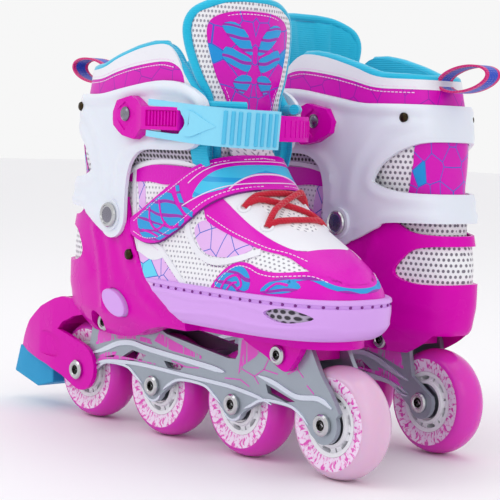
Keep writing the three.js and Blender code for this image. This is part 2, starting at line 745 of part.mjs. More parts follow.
function ladderStrapSolid() {
  const z = LEVER_PIN.z - 3.5;
  const start = CUFF_HALF_WIDTH + CUFF_WALL + GAP;
  const path = [
    [-14, start + LADDER_THICKNESS / 2],
    [24, start + LADDER_THICKNESS / 2],
    [37, start - 2.2],
    [46, start - 12.2],
    [51, 10],
    [51, -10],
    [46, 12.2 - start],
    [37, 2.2 - start],
    [24, BUCKLE_Y - LADDER_THICKNESS / 2 - 0.2],
    [-6, BUCKLE_Y - LADDER_THICKNESS / 2 - 0.2],
  ];
  const half = LADDER_THICKNESS / 2;
  return planPlate(bandShape(path, -half, half), z - LADDER_HEIGHT / 2, z + LADDER_HEIGHT / 2);
}

// ---- heel brake ----
function brakeBracketSolid() {
  const axle = axleX(0);
  const outline = new THREE.Shape();
  outline.moveTo(axle - 4, 78);
  outline.lineTo(axle + 12, 76);
  outline.lineTo(axle + 12, 70);
  outline.lineTo(axle - 6, 66.5);
  outline.lineTo(axle - 19, 61);
  outline.lineTo(axle - 24, 56);
  outline.lineTo(axle - 14, 54);
  outline.lineTo(axle + 4, 49.5);
  outline.absarc(axle + 3, WHEEL_RADIUS + 2, 15, 1.2, -1.9, true);
  outline.lineTo(axle - 18, 26);
  outline.lineTo(axle - 36, 30.5);
  outline.lineTo(axle - 52, 33);
  outline.lineTo(axle - 80, 38);
  outline.lineTo(axle - 72, 50);
  outline.lineTo(axle - 56, 63);
  outline.lineTo(axle - 36, 73);
  outline.lineTo(axle - 20, 78);
  const plan = shapeOf([
    [axle + 30, -BRAKE_HALF_WIDTH],
    [axle + 30, BRAKE_HALF_WIDTH],
    [axle - 30, BRAKE_HALF_WIDTH],
    [axle - 66, 13],
    [axle - 80, 8],
    [axle - 80, -8],
    [axle - 66, -13],
    [axle - 30, -BRAKE_HALF_WIDTH],
  ]);
  const clear = PLATE_OUTER + GAP;
  const wheelRoom = pin(WHEEL_RADIUS + 3, axle, WHEEL_RADIUS, -clear, clear, 24);
  return sidePlate(outline, -BRAKE_HALF_WIDTH, BRAKE_HALF_WIDTH, 5)
    .intersect(planPlate(plan, 0, 100))
    .subtract(wheelRoom)
    .subtract(box(axle - 20, FAR, -clear, clear, 0, 70))
    .subtract(heelRoom())
    .subtract(pin(holeRadius(AXLE_RADIUS), axle, WHEEL_RADIUS, -FAR, FAR));
}

// The heel shell's outer body with the gap added, which the brake bracket stays out of.
function heelRoom() {
  const clear = PLATE_OUTER + GAP;
  return loft(inset(HEEL_LEVELS, -GAP * 2), HEEL_POWER)
    .add(box(-105, FAR, -clear, clear, 0, FAR))
    .intersect(box(-FAR, FAR, -FAR, FAR, 59.6, FAR));
}

function brakePadSolid() {
  const axle = axleX(0);
  const side = shapeOf([
    [axle - 36, 30.5 - GAP],
    [axle - 36, 18],
    [axle - 54, 13],
    [axle - 90, 18.5],
    [axle - 82, 38],
    [axle - 80, 38 - GAP],
    [axle - 52, 33 - GAP],
  ]);
  const plan = shapeOf([
    [axle - 20, -PAD_HALF_WIDTH],
    [axle - 20, PAD_HALF_WIDTH],
    [axle - 54, PAD_HALF_WIDTH],
    [axle - 92, 7],
    [axle - 92, -7],
    [axle - 54, -PAD_HALF_WIDTH],
  ]);
  return sidePlate(side, -FAR, FAR).intersect(planPlate(plan, 0, 60));
}

// ---- one skate ----
function buildSkate(suffix, withBrake) {
  const skate = new THREE.Group();
  const put = (name, manifold, look) => {
    const mesh = new THREE.Mesh(geometryOf(manifold), look);
    mesh.name = `${name}_${suffix}`;
    skate.add(mesh);
  };
  put("heel_shell", heelShellSolid(), MATERIALS.shell);
  put("frame", frameSolid(), MATERIALS.frame);
  put("toe_shell", toeShellSolid(), MATERIALS.toe);
  put("upper", upperSolid(), MATERIALS.fabric);
  put("instep_strap", instepStrapSolid(), MATERIALS.strap);
  put("laces", laceSolid(), MATERIALS.lace);
  put("size_button", buttonSolid(), MATERIALS.toe);
  put("cuff", cuffSolid(), MATERIALS.cuff);
  put("cuff_rivet_outer", rivetSolid(-1), MATERIALS.steel);
  put("cuff_rivet_inner", rivetSolid(1), MATERIALS.steel);
  put("liner", linerSolid(), MATERIALS.fabric);
  put("tongue", tongueSolid(), MATERIALS.tongue);
  put("buckle_lever", leverSolid(), MATERIALS.lever);
  put("buckle_base", buckleBaseSolid(), MATERIALS.shell);
  put("ladder_strap", ladderStrapSolid(), MATERIALS.lever);
  const boltSeat = CHEEK_OUTER + GAP;
  const bolt = (x) => crossBolt(BOLT_RADIUS, BOLT_HEAD_RADIUS, 2.2, boltSeat, x, MOUNT_BOLT_Z);
  put("front_mount_bolt", bolt(FRONT_BOLT_X), MATERIALS.steel);
  put("rear_mount_bolt", bolt(REAR_BOLT_X), MATERIALS.steel);
  for (let i = 0; i < WHEEL_COUNT; i++) {
    const look = i === WHEEL_COUNT - 1 ? MATERIALS.clearTyre : MATERIALS.tyre;
    const seat = (withBrake && i === 0 ? BRAKE_HALF_WIDTH : PLATE_OUTER) + GAP;
    put(`wheel_${i + 1}`, wheelSolid(i), look);
    put(`bearings_${i + 1}`, bearingSolid(i), MATERIALS.bearing);
    put(
      `axle_${i + 1}`,
      crossBolt(AXLE_RADIUS, AXLE_HEAD_RADIUS, AXLE_HEAD_HEIGHT, seat, axleX(i), WHEEL_RADIUS),
      MATERIALS.steel,
    );
  }
  if (withBrake) {
    put("brake_bracket", brakeBracketSolid(), MATERIALS.shell);
    put("brake_pad", brakePadSolid(), MATERIALS.pad);
  }
  return skate;
}

// ---- the pair ----
const rightSkate = buildSkate("r", true);
const leftSkate = buildSkate("l", false);
leftSkate.scale.set(1, -1, 1);
leftSkate.rotation.z = PAIR_TURN;
leftSkate.position.set(PAIR_SHIFT, PAIR_DISTANCE, 0);

const pair = new THREE.Group();
pair.add(rightSkate, leftSkate);
const extent = new THREE.Box3().setFromObject(pair, true);
pair.position.set(-(extent.min.x + extent.max.x) / 2, -(extent.min.y + extent.max.y) / 2, -extent.min.z);

const skates = new THREE.Group();
skates.add(pair);
export default skates;
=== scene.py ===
"""The looks of a pair of adjustable children's inline skates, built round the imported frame.

Every piece is shaped in one skate's own frame, in millimetres: X forward, Y to the left, Z up, with the
origin on the ground below the middle of the wheelbase. It is then set down on both skates, mirrored on
the left.
"""

import math

import bmesh
import bpy
from bpy.props import FloatProperty, FloatVectorProperty, PointerProperty
from mathutils import Matrix, Vector


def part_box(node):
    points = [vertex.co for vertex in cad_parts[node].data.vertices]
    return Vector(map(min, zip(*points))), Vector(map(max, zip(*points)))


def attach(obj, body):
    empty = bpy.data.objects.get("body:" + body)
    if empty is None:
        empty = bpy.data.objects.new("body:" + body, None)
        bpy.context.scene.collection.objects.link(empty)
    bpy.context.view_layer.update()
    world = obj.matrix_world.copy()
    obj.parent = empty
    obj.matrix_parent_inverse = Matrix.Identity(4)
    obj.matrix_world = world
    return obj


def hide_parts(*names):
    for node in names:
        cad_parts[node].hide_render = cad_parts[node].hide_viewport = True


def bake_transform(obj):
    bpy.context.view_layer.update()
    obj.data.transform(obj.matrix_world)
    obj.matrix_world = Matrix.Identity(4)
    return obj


bl_info = {
    "name": "Inline Skates",
    "version": (1, 0, 0),
    "blender": (4, 5, 0),
    "location": "View3D > Sidebar > Skates",
    "description": "Builds the shells, boots, buckles, frames and wheels of a pair of inline skates",
    "category": "Object",
}

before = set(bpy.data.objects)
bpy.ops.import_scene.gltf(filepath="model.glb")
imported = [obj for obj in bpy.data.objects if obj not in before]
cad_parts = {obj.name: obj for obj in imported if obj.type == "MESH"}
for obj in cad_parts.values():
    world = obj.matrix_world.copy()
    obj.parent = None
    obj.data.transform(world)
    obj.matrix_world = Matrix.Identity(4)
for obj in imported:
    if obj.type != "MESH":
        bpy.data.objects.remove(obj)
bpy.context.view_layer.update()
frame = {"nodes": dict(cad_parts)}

MM = 0.001
AXLES = (-114, -38, 38, 114)
AXLE_Z = 32
PIVOT = (-58, 137)


def linear(text):
    """An sRGB hex colour as linear red, green and blue."""
    parts = [int(text[i : i + 2], 16) / 255 for i in (0, 2, 4)]
    return tuple(c / 12.92 if c <= 0.04045 else ((c + 0.055) / 1.055) ** 2.4 for c in parts)


def ink(text):
    """An sRGB hex colour with the fourth number that colour sockets take."""
    return (*linear(text), 1.0)


# ---- sizes and colours ----
def colour_property(name, description, text):
    """A colour that a user may change."""
    return FloatVectorProperty(
        name=name, description=description, subtype="COLOR", size=3, min=0, max=1, default=linear(text)
    )


def length_property(name, description, millimetres):
    """A length that a user may change."""
    return FloatProperty(
        name=name, description=description, unit="LENGTH", min=0.0001, max=0.3, default=millimetres * MM
    )


class SKATES_PG_sizes(bpy.types.PropertyGroup):
    """The sizes of the pieces that a user would change"""

    tyre_radius: length_property("Wheel radius", "Ground to axle", 32)
    hub_radius: length_property("Core radius", "Outside of the moulded wheel core", 18.4)
    rolled_edge: length_property("Rolled edge", "Height of the rolled rims of the shells", 0.9)
    overlay: length_property("Overlay", "Thickness of the sewn overlays of the boot", 0.7)
    lace: length_property("Lace", "Radius of the round lace", 1.9)


class SKATES_PG_colours(bpy.types.PropertyGroup):
    """The colours of the moulded, cast and woven parts"""

    shell: colour_property("Shell", "Heel shell, brake arm and buckle base", "D800B0")
    cuff: colour_property("Cuff", "Hinged cuff", "E6E8F2")
    toe: colour_property("Toe shell", "Sliding toe shell and size button", "D6A2EE")
    lever: colour_property("Buckle lever", "Lever and ladder strap", "86D8F4")
    pad: colour_property("Brake pad", "Rubber of the heel brake", "0A9CD2")
    frame: colour_property("Wheel frame", "Silver paint of the wheel frame", "A2ACB6")
    tyre: colour_property("Tyre", "Cast tyre", "DC30B8")
    lining: colour_property("Lining", "Brushed lining and bindings", "00BEE4")
    lace: colour_property("Lace", "Braided lace", "C8002E")


def sizes():
    """The sizes now set."""
    return bpy.context.scene.skate_sizes


def colours():
    """The colours now set."""
    return bpy.context.scene.skate_colours


# ---- where each skate stands ----
def middle(node):
    """The middle of a node's box."""
    low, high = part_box(node)
    return (low + high) / 2


def skate_place(side):
    """The turn from one skate's own frame, in millimetres, to the shared one, in metres."""
    rear = middle(f"wheel_1_{side}")
    front = middle(f"wheel_4_{side}")
    forward = (front - rear).normalized()
    left = Vector((-forward.y, forward.x, 0)) * (1 if side == "r" else -1)
    place = Matrix((forward, left, Vector((0, 0, 1)))).transposed().to_4x4()
    place.translation = (front + rear) / 2 - Vector((0, 0, rear.z))
    return place @ Matrix.Scale(MM, 4)


PLACES = {side: skate_place(side) for side in "rl"}


def body_of(side, part):
    """The body that a part of one skate moves with."""
    if part == "skate":
        return "root" if side == "r" else "left_skate"
    return ("right_" if side == "r" else "left_") + part


# ---- shaping ----
def level_at(levels, z):
    """The section at a height, eased between the given ones without overshoot."""
    if z <= levels[0]["z"]:
        return dict(levels[0], z=z)
    if z >= levels[-1]["z"]:
        return dict(levels[-1], z=z)
    i = next(k for k in range(len(levels) - 1) if z <= levels[k + 1]["z"])
    span = levels[i + 1]["z"] - levels[i]["z"]
    t = (z - levels[i]["z"]) / span

    def slope(key, k):
        """The slope of a measure at one level, flat where it turns back."""
        if k == 0 or k == len(levels) - 1:
            a, b = (0, 1) if k == 0 else (k - 1, k)
            return (levels[b][key] - levels[a][key]) / (levels[b]["z"] - levels[a]["z"])
        before = (levels[k][key] - levels[k - 1][key]) / (levels[k]["z"] - levels[k - 1]["z"])
        after = (levels[k + 1][key] - levels[k][key]) / (levels[k + 1]["z"] - levels[k]["z"])
        return 0 if before * after <= 0 else 2 * before * after / (before + after)

    made = {"z": z}
    for key in ("back", "mid", "front", "half"):
        a, b = levels[i][key], levels[i + 1][key]
        rise = (2 * t**3 - 3 * t**2 + 1) * a + (3 * t**2 - 2 * t**3) * b
        made[key] = rise + span * ((t**3 - 2 * t**2 + t) * slope(key, i) + (t**3 - t**2) * slope(key, i + 1))
    return made


def fine(levels, step=2.0, out=0.0):
    """Sections every step up the piece, drawn out by a distance."""
    low, high = levels[0]["z"], levels[-1]["z"]
    count = max(2, round((high - low) / step))
    made = []
    for k in range(count + 1):
        level = level_at(levels, low + (high - low) * k / count)
        made.append(
            {
                "z": level["z"],
                "back": level["back"] - out,
                "mid": level["mid"],
                "front": level["front"] + out,
                "half": level["half"] + out,
            }
        )
    return made


def section_point(level, angle, power):
    """A point of a rounded section, by its angle."""
    c, s = math.cos(angle), math.sin(angle)
    reach = level["front"] - level["mid"] if c > 0 else level["mid"] - level["back"]
    x = level["mid"] + reach * math.copysign(abs(c) ** (2 / power), c)
    y = level["half"] * math.copysign(abs(s) ** (2 / power), s)
    return Vector((x, y, level["z"]))


def skin_point(levels, power, x, z, out=0.0, side=-1):
    """A point on the side of a boot surface, from its side view."""
    level = level_at(levels, z)
    reach = (level["front"] - level["mid"] if x > level["mid"] else level["mid"] - level["back"]) + out
    share = min(abs(x - level["mid"]) / reach, 1)
    return Vector((x, side * (level["half"] + out) * (1 - share**power) ** (1 / power), z))


def loft(levels, power, around=144):
    """A closed body bridged through sections."""
    bm = bmesh.new()
    rings = []
    for level in levels:
        ring = bmesh.ops.create_circle(bm, segments=around, radius=1)["verts"]
        for v in ring:
            v.co = section_point(level, math.atan2(v.co.y, v.co.x), power)
        rings.append(list({e for v in ring for e in v.link_edges}))
    for lower, upper in zip(rings, rings[1:]):
        bmesh.ops.bridge_loops(bm, edges=lower + upper)
    for ring in (rings[0], rings[-1]):
        bmesh.ops.contextual_create(bm, geom=ring)
    bmesh.ops.recalc_face_normals(bm, faces=bm.faces)
    return bm


def eased(points, steps=5, closed=True):
    """A smooth line through side-view points; a point given twice stays a corner."""
    made = []
    n = len(points)
    for i in range(n if closed else n - 1):
        a, b, c, d = (points[(i + k - 1) % n if closed else min(max(i + k - 1, 0), n - 1)] for k in range(4))
        if b == c:
            continue
        for s in range(steps):
            t = s / steps
            made.append(tuple(
                0.5 * (
                    2 * q + (r - p) * t + (
                        2 * p - 5 * q + 4 * r - w
                    ) * t**2 + (3 * q - p - 3 * r + w) * t**3
                )
                for p, q, r, w in zip(a, b, c, d)
            ))
    if not closed:
        made.append(tuple(points[-1]))
    return made


def plate(points, low, high, axis="y"):
    """An outline given thickness along Y (side view) or Z (plan view)."""
    bm = bmesh.new()
    flat = [(a, low, b) if axis == "y" else (a, b, low) for a, b in points]
    face = bm.faces.new([bm.verts.new(p) for p in flat])
    made = bmesh.ops.extrude_face_region(bm, geom=[face])["geom"]
    rise = (0, high - low, 0) if axis == "y" else (0, 0, high - low)
    bmesh.ops.translate(bm, vec=rise, verts=[v for v in made if isinstance(v, bmesh.types.BMVert)])
    bmesh.ops.recalc_face_normals(bm, faces=bm.faces)
    return bm


def block(low, high):
    """A box between two corners."""
    bm = bmesh.new()
    bmesh.ops.create_cube(bm, size=1)
    size = Vector(high) - Vector(low)
    bmesh.ops.scale(bm, vec=size, verts=bm.verts)
    bmesh.ops.translate(bm, vec=(Vector(high) + Vector(low)) / 2, verts=bm.verts)
    return bm


def rod(radius, x, z, y0, y1, sides=32):
    """A round bar across the skate."""
    bm = bmesh.new()
    bmesh.ops.create_cone(bm, cap_ends=True, segments=sides, radius1=radius, radius2=radius, depth=y1 - y0)
    bm.transform(Matrix.Translation((x, (y0 + y1) / 2, z)) @ Matrix.Rotation(math.pi / 2, 4, "X"))
    return bm


def turned(profile, x, z, steps=64, closed=True):
    """A ring spun about an axle from [radius, y] points."""
    bm = bmesh.new()
    verts = [bm.verts.new((x, y, z + r)) for r, y in profile]
    pairs = list(zip(verts, verts[1:])) + ([(verts[-1], verts[0])] if closed else [])
    edges = [bm.edges.new(pair) for pair in pairs]
    bmesh.ops.spin(
        bm, geom=verts + edges, cent=(x, 0, z), axis=(0, 1, 0), angle=2 * math.pi, steps=steps, use_merge=True
    )
    bmesh.ops.remove_doubles(bm, verts=bm.verts, dist=0.001)
    bmesh.ops.recalc_face_normals(bm, faces=bm.faces)
    return bm


def bead(points, radius, closed=False):
    """A round cord through points, as a mesh."""
    curve = bpy.data.curves.new("bead", "CURVE")
    curve.dimensions = "3D"
    curve.bevel_depth = radius
    curve.bevel_resolution = 3
    curve.use_fill_caps = True
    spline = curve.splines.new("POLY")
    spline.points.add(len(points) - 1)
    for point, place in zip(spline.points, points):
        point.co = (*place, 1)
    spline.use_cyclic_u = closed
    shape = bpy.data.objects.new("bead", curve)
    bpy.context.scene.collection.objects.link(shape)
    bm = bmesh.new()
    bpy.context.view_layer.update()
    mesh = shape.to_mesh()
    bm.from_mesh(mesh)
    shape.to_mesh_clear()
    bpy.data.objects.remove(shape)
    bpy.data.curves.remove(curve)
    bmesh.ops.remove_doubles(bm, verts=bm.verts, dist=0.0005)
    bmesh.ops.recalc_face_normals(bm, faces=bm.faces)
    return bm


def together(*parts):
    """Several bodies in one mesh."""
    made = bmesh.new()
    for part in parts:
        mesh = bpy.data.meshes.new("part")
        part.to_mesh(mesh)
        made.from_mesh(mesh)
        bpy.data.meshes.remove(mesh)
    return made


def carve(base, tool, operation="DIFFERENCE"):
    """A body with a tool cut away from it, joined to it, or kept where they share room."""
    shapes = []
    for bm in (base, tool):
        mesh = bpy.data.meshes.new("carve")
        bm.to_mesh(mesh)
        shape = bpy.data.objects.new("carve", mesh)
        bpy.context.scene.collection.objects.link(shape)
        shapes.append(shape)
    cut = shapes[0].modifiers.new("carve", "BOOLEAN")
    cut.operation = operation
    cut.object = shapes[1]
    cut.solver = "MANIFOLD"
    made = bmesh.new()
    made.from_object(shapes[0], bpy.context.evaluated_depsgraph_get())
    if not made.verts or (operation != "UNION" and len(made.verts) == len(base.verts)):
        cut.solver = "EXACT"
        made = bmesh.new()
        made.from_object(shapes[0], bpy.context.evaluated_depsgraph_get())
    for shape in shapes:
        mesh = shape.data
        bpy.data.objects.remove(shape)
        bpy.data.meshes.remove(mesh)
    if not made.verts:
        raise RuntimeError("a cut left nothing")
    return made


def distance_to(point, line, closed):
    """The distance in the side view from a point to a line."""
    best = 1e9
    for a, b in zip(line, line[1:] + line[:1] if closed else line[1:]):
        a, b = Vector(a), Vector(b)
        along = b - a
        t = max(0, min(1, (point - a).dot(along) / max(along.length_squared, 1e-9)))
        best = min(best, (point - a - along * t).length)
    return best


def inside(point, outline):
    """Whether a point of the side view lies within an outline."""
    odd = False
    for (ax, az), (bx, bz) in zip(outline, outline[1:] + outline[:1]):
        if (az > point.y) != (bz > point.y) and point.x < (bx - ax) * (point.y - az) / (bz - az) + ax:
            odd = not odd
    return odd


def emboss(bm, strokes=(), fields=()):
    """Raises soft ridges along lines and soft fields within outlines; a negative height sinks them."""
    for v in bm.verts:
        place = Vector((v.co.x, v.co.z))
        rise = 0
        for line, width, height in strokes:
            far = distance_to(place, line, False) / width
            if far < 1:
                rise += height * (1 - far * far * (3 - 2 * far))
        for outline, soft, height in fields:
            if inside(place, outline):
                near = min(distance_to(place, outline, True) / soft, 1)
                rise += height * near * near * (3 - 2 * near)
        if rise:
            v.co.y += math.copysign(rise, v.co.y)
    return bm


_skins = {}


def skin(levels, power, low, high, around=144, step=2.0):
    """The layer between two distances outside a boot surface, made once for each use."""
    key = (id(levels), low, high, around, step)
    if key not in _skins:
        outer = loft(fine(levels, step, high), power, around)
        inner = fine(levels, step, low)
        inner = [dict(inner[0], z=inner[0]["z"] - 5)] + inner + [dict(inner[-1], z=inner[-1]["z"] + 5)]
        _skins[key] = carve(outer, loft(inner, power, around))
    return _skins[key]


def overlay(levels, power, outline, low, high, sides=(-1, 1), axis="y", **density):
    """A sewn or raised patch that follows a boot surface, from its outline."""
    layer = skin(levels, power, low, high, **density)
    if axis == "z":
        return carve(layer, plate(outline, 60, 200, "z"), "INTERSECT")
    reach = {(-1, 1): (-90, 90), (-1,): (-90, 0), (1,): (0, 90)}[tuple(sides)]
    return carve(layer, plate(outline, *reach), "INTERSECT")


def seam(points, pitch=2.6, length=1.7, radius=0.28):
    """A row of thread stitches along a line of points."""
    bm = bmesh.new()
    left = pitch / 2
    for a, b in zip(points, points[1:]):
        a, b = Vector(a), Vector(b)
        span = (b - a).length
        while left < span:
            turn = (b - a).to_track_quat("Z", "Y").to_matrix().to_4x4()
            bmesh.ops.create_cone(
                bm, cap_ends=True, segments=6, radius1=radius, radius2=radius, depth=length,
                matrix=Matrix.Translation(a.lerp(b, left / span)) @ turn,
            )
            left += pitch
        left -= span
    return bm


# ---- materials ----
def add(tree, kind, values=None, **settings):
    """Adds a node; each value is a number, a colour, or the node or socket that feeds it."""
    node = tree.nodes.new(kind)
    for name, value in settings.items():
        setattr(node, name, value)
    for key, value in (values or {}).items():
        if isinstance(value, bpy.types.Node):
            value = value.outputs[0]
        if isinstance(value, bpy.types.NodeSocket):
            tree.links.new(value, node.inputs[key])
        else:
            node.inputs[key].default_value = value
    return node


def surface(name, colour, roughness, grain=0.5, depth=0.03, mottle=0.06, **sockets):
    """A material with slight unevenness and fine grain; grain and depth are in millimetres.

    Gives the material, its tree and shader, and the sockets of place, base colour and bump.
    """
    made = bpy.data.materials.new(name)
    made.use_nodes = True
    tree = made.node_tree
    shader = tree.nodes["Principled BSDF"]
    place = add(tree, "ShaderNodeAttribute", attribute_name="skate_mm").outputs["Vector"]
    cloud = add(tree, "ShaderNodeTexNoise", {"Vector": place, "Scale": 0.04, "Detail": 3.0})
    rgba = (*colour[:3], 1.0)
    darker = (*(c * (1 - 2 * mottle) for c in rgba[:3]), 1.0)
    tint = add(tree, "ShaderNodeMix", {0: cloud, 6: rgba, 7: darker}, data_type="RGBA")
    fleck = add(tree, "ShaderNodeTexNoise", {"Vector": place, "Scale": 1 / grain, "Detail": 2.0})
    bump = add(tree, "ShaderNodeBump", {"Height": fleck, "Strength": 1.0, "Distance": depth * MM})
    gloss = add(
        tree, "ShaderNodeMapRange",
        {"Value": cloud, "To Min": roughness * 0.85, "To Max": min(roughness * 1.2, 1.0)},
    )
    tree.links.new(tint.outputs[2], shader.inputs["Base Color"])
    tree.links.new(gloss.outputs[0], shader.inputs["Roughness"])
    tree.links.new(bump.outputs[0], shader.inputs["Normal"])
    for key, value in sockets.items():
        shader.inputs[key.replace("_", " ")].default_value = value
    return made, tree, shader, place, tint.outputs[2], bump


def paint_over(tree, shader, under, mask, colour):
    """Lays a colour over the base colour where the mask is one."""
    top = add(tree, "ShaderNodeMix", {0: mask, 6: under, 7: colour}, data_type="RGBA")
    tree.links.new(top.outputs[2], shader.inputs["Base Color"])
    return top.outputs[2]


def wrapped(tree, place, across):
    """Position with Y folded in, so that a side pattern runs on round the back, the front or the top."""
    parts = add(tree, "ShaderNodeSeparateXYZ", {0: place})
    off = add(tree, "ShaderNodeMath", {0: parts.outputs["Y"]}, operation="ABSOLUTE")
    sign = {"back": 1.0, "front": -1.0, "top": -1.0}[across]
    base = parts.outputs["Z"] if across == "top" else parts.outputs["X"]
    run = add(tree, "ShaderNodeMath", {0: off, 1: sign, 2: base}, operation="MULTIPLY_ADD")
    if across == "top":
        return add(tree, "ShaderNodeCombineXYZ", {"X": parts.outputs["X"], "Y": run})
    return add(tree, "ShaderNodeCombineXYZ", {"X": run, "Y": parts.outputs["Z"]})


def holes_mask(tree, flat, pitch, radius, squash=1.0):
    """One inside a staggered grid of round holes; pitch and radius in millimetres."""
    parts = add(tree, "ShaderNodeSeparateXYZ", {0: flat})
    row = add(tree, "ShaderNodeMath", {0: parts.outputs["Y"], 1: squash / pitch}, operation="MULTIPLY")
    even = add(tree, "ShaderNodeMath", {0: row}, operation="FLOOR")
    shift = add(tree, "ShaderNodeMath", {0: even, 1: 2.0}, operation="FLOORED_MODULO")
    column = add(tree, "ShaderNodeMath", {0: parts.outputs["X"], 1: 1 / pitch}, operation="MULTIPLY")
    moved = add(tree, "ShaderNodeMath", {0: shift, 1: 0.5, 2: column}, operation="MULTIPLY_ADD")
    u = add(tree, "ShaderNodeMath", {0: moved}, operation="FRACT")
    v = add(tree, "ShaderNodeMath", {0: row}, operation="FRACT")
    cell = add(tree, "ShaderNodeCombineXYZ", {"X": u, "Y": v})
    far = add(tree, "ShaderNodeVectorMath", {0: cell, 1: (0.5, 0.5, 0)}, operation="DISTANCE")
    edge = radius / pitch
    return add(
        tree, "ShaderNodeMapRange",
        {"Value": far.outputs["Value"], "From Min": edge * 1.15, "From Max": edge * 0.8},
    )


def moulded(name, colour, roughness=0.3, **more):
    """Moulded plastic: an even gloss with the very fine sparked texture of the mould."""
    return surface(name, colour, roughness, grain=0.6, depth=0.006, mottle=0.03, IOR=1.5, **more)[0]


def shard_print(name, colour, line, fill, share=0.86, size=13, across="back", roughness=0.38, seed=0.0):
    """Printed coated textile: straight thin lines like cracked glass, with some of the shards filled."""
    made, tree, shader, place, base, _ = surface(
        name, colour, roughness, 0.9, 0.05, 0.04, IOR=1.47, Specular_IOR_Level=0.3
    )
    flat = wrapped(tree, place, across)
    moved = add(tree, "ShaderNodeVectorMath", {0: flat, 1: (seed, seed * 1.7, 0)}, operation="ADD")
    cells = add(tree, "ShaderNodeTexVoronoi", {"Vector": moved, "Scale": 1 / size}, voronoi_dimensions="2D")
    hue = add(tree, "ShaderNodeSeparateColor", {0: cells.outputs["Color"]})
    filled = add(tree, "ShaderNodeMath", {0: hue.outputs[0], 1: share}, operation="GREATER_THAN")
    base = paint_over(tree, shader, base, filled.outputs[0], fill)
    edges = add(
        tree, "ShaderNodeTexVoronoi", {"Vector": moved, "Scale": 1 / size},
        voronoi_dimensions="2D", feature="DISTANCE_TO_EDGE",
    )
    thin = add(tree, "ShaderNodeMath", {0: edges, 1: 0.32 / size}, operation="LESS_THAN")
    paint_over(tree, shader, base, thin.outputs[0], line)
    return made


def flame_print(name, colour, stroke, across="back", size=6.0):
    """Printed film: a plain colour with curling strokes through it."""
    made, tree, shader, place, base, _ = surface(name, colour, 0.35, 0.9, 0.04, 0.04, IOR=1.47)
    flat = wrapped(tree, place, across)
    waves = add(
        tree, "ShaderNodeTexWave",
        {"Vector": flat, "Scale": 0.314 / size, "Distortion": 9.0, "Detail": 1.0, "Detail Scale": 0.6},
        wave_type="RINGS",
    )
    mask = add(tree, "ShaderNodeMath", {0: waves.outputs["Fac"], 1: 0.84}, operation="GREATER_THAN")
    paint_over(tree, shader, base, mask.outputs[0], stroke)
    return made


def air_mesh(name, colour, gap, pitch=3.0, radius=0.85, across="top", squash=1.0):
    """Knitted spacer mesh: rows of small round openings with a soft raised net between them; the openings are
    coloured darker, painted shade inside the holes.
    """
    made, tree, shader, place, base, bump = surface(
        name, colour, 0.75, 0.7, 0.05, 0.03, Sheen_Weight=0.3, Sheen_Roughness=0.5
    )
    flat = wrapped(tree, place, across)
    mask = holes_mask(tree, flat, pitch, radius, squash)
    # The gap colour in the openings is painted shade inside the holes.
    paint_over(tree, shader, base, mask.outputs[0], gap)
    sink = add(tree, "ShaderNodeMath", {0: mask, 1: -1.0}, operation="MULTIPLY")
    dent = add(tree, "ShaderNodeBump", {
        "Height": sink, "Strength": 1.0, "Distance": 0.5 * MM, "Normal": bump,
    })
    tree.links.new(dent.outputs[0], shader.inputs["Normal"])
    return made


def woven(name, colour, other, pitch=1.1, band=None, roughness=0.8):
    """Woven webbing or braid: crossing yarns that catch the light in turn, with a stripe along its middle."""
    made, tree, shader, place, base, bump = surface(
        name, colour, roughness, 0.5, 0.04, 0.06, Sheen_Weight=0.4, Sheen_Roughness=0.4
    )
    parts = add(tree, "ShaderNodeSeparateXYZ", {0: place})
    if band:
        off = add(tree, "ShaderNodeMath", {0: parts.outputs["Y"]}, operation="ABSOLUTE")
        core = add(tree, "ShaderNodeMath", {0: off, 1: band}, operation="LESS_THAN")
        paint_over(tree, shader, base, core.outputs[0], other)
    waves = [
        add(tree, "ShaderNodeTexWave", {"Vector": place, "Scale": 0.314 / pitch}, bands_direction=way)
        for way in ("DIAGONAL", "X", "Z")
    ]
    rise = add(tree, "ShaderNodeMath", {
        0: waves[0].outputs["Fac"], 1: waves[1].outputs["Fac"],
    }, operation="ADD")
    both = add(tree, "ShaderNodeMath", {0: rise, 1: waves[2].outputs["Fac"]}, operation="ADD")
    weave = add(tree, "ShaderNodeBump", {
        "Height": both, "Strength": 1.0, "Distance": 0.15 * MM, "Normal": bump,
    })
    tree.links.new(weave.outputs[0], shader.inputs["Normal"])
    return made


def brushed_cloth(name, colour):
    """Brushed tricot lining: soft, with a faint rib and a sheen at its edges."""
    made, tree, shader, place, _, bump = surface(
        name, colour, 0.7, 0.8, 0.1, 0.08, Sheen_Weight=0.6, Sheen_Roughness=0.4
    )
    rib = add(tree, "ShaderNodeTexWave", {"Vector": place, "Scale": 0.314 / 1.4}, bands_direction="Z")
    ribs = add(tree, "ShaderNodeBump", {
        "Height": rib, "Strength": 1.0, "Distance": 0.12 * MM, "Normal": bump,
    })
    tree.links.new(ribs.outputs[0], shader.inputs["Normal"])
    return made


def grained_leather(name, colour, roughness=0.4, level=0.5):
    """Coated synthetic leather: small rounded pebbles under a soft gloss."""
    made, tree, shader, place, _, bump = surface(
        name, colour, roughness, 0.7, 0.03, 0.03, IOR=1.47, Specular_IOR_Level=level
    )
    pebble = add(tree, "ShaderNodeTexVoronoi", {"Vector": place, "Scale": 1 / 1.3}, feature="SMOOTH_F1")
    grain = add(
        tree, "ShaderNodeBump",
        {"Height": pebble.outputs["Distance"], "Strength": 1.0, "Distance": 0.1 * MM, "Normal": bump},
    )
    tree.links.new(grain.outputs[0], shader.inputs["Normal"])
    return made


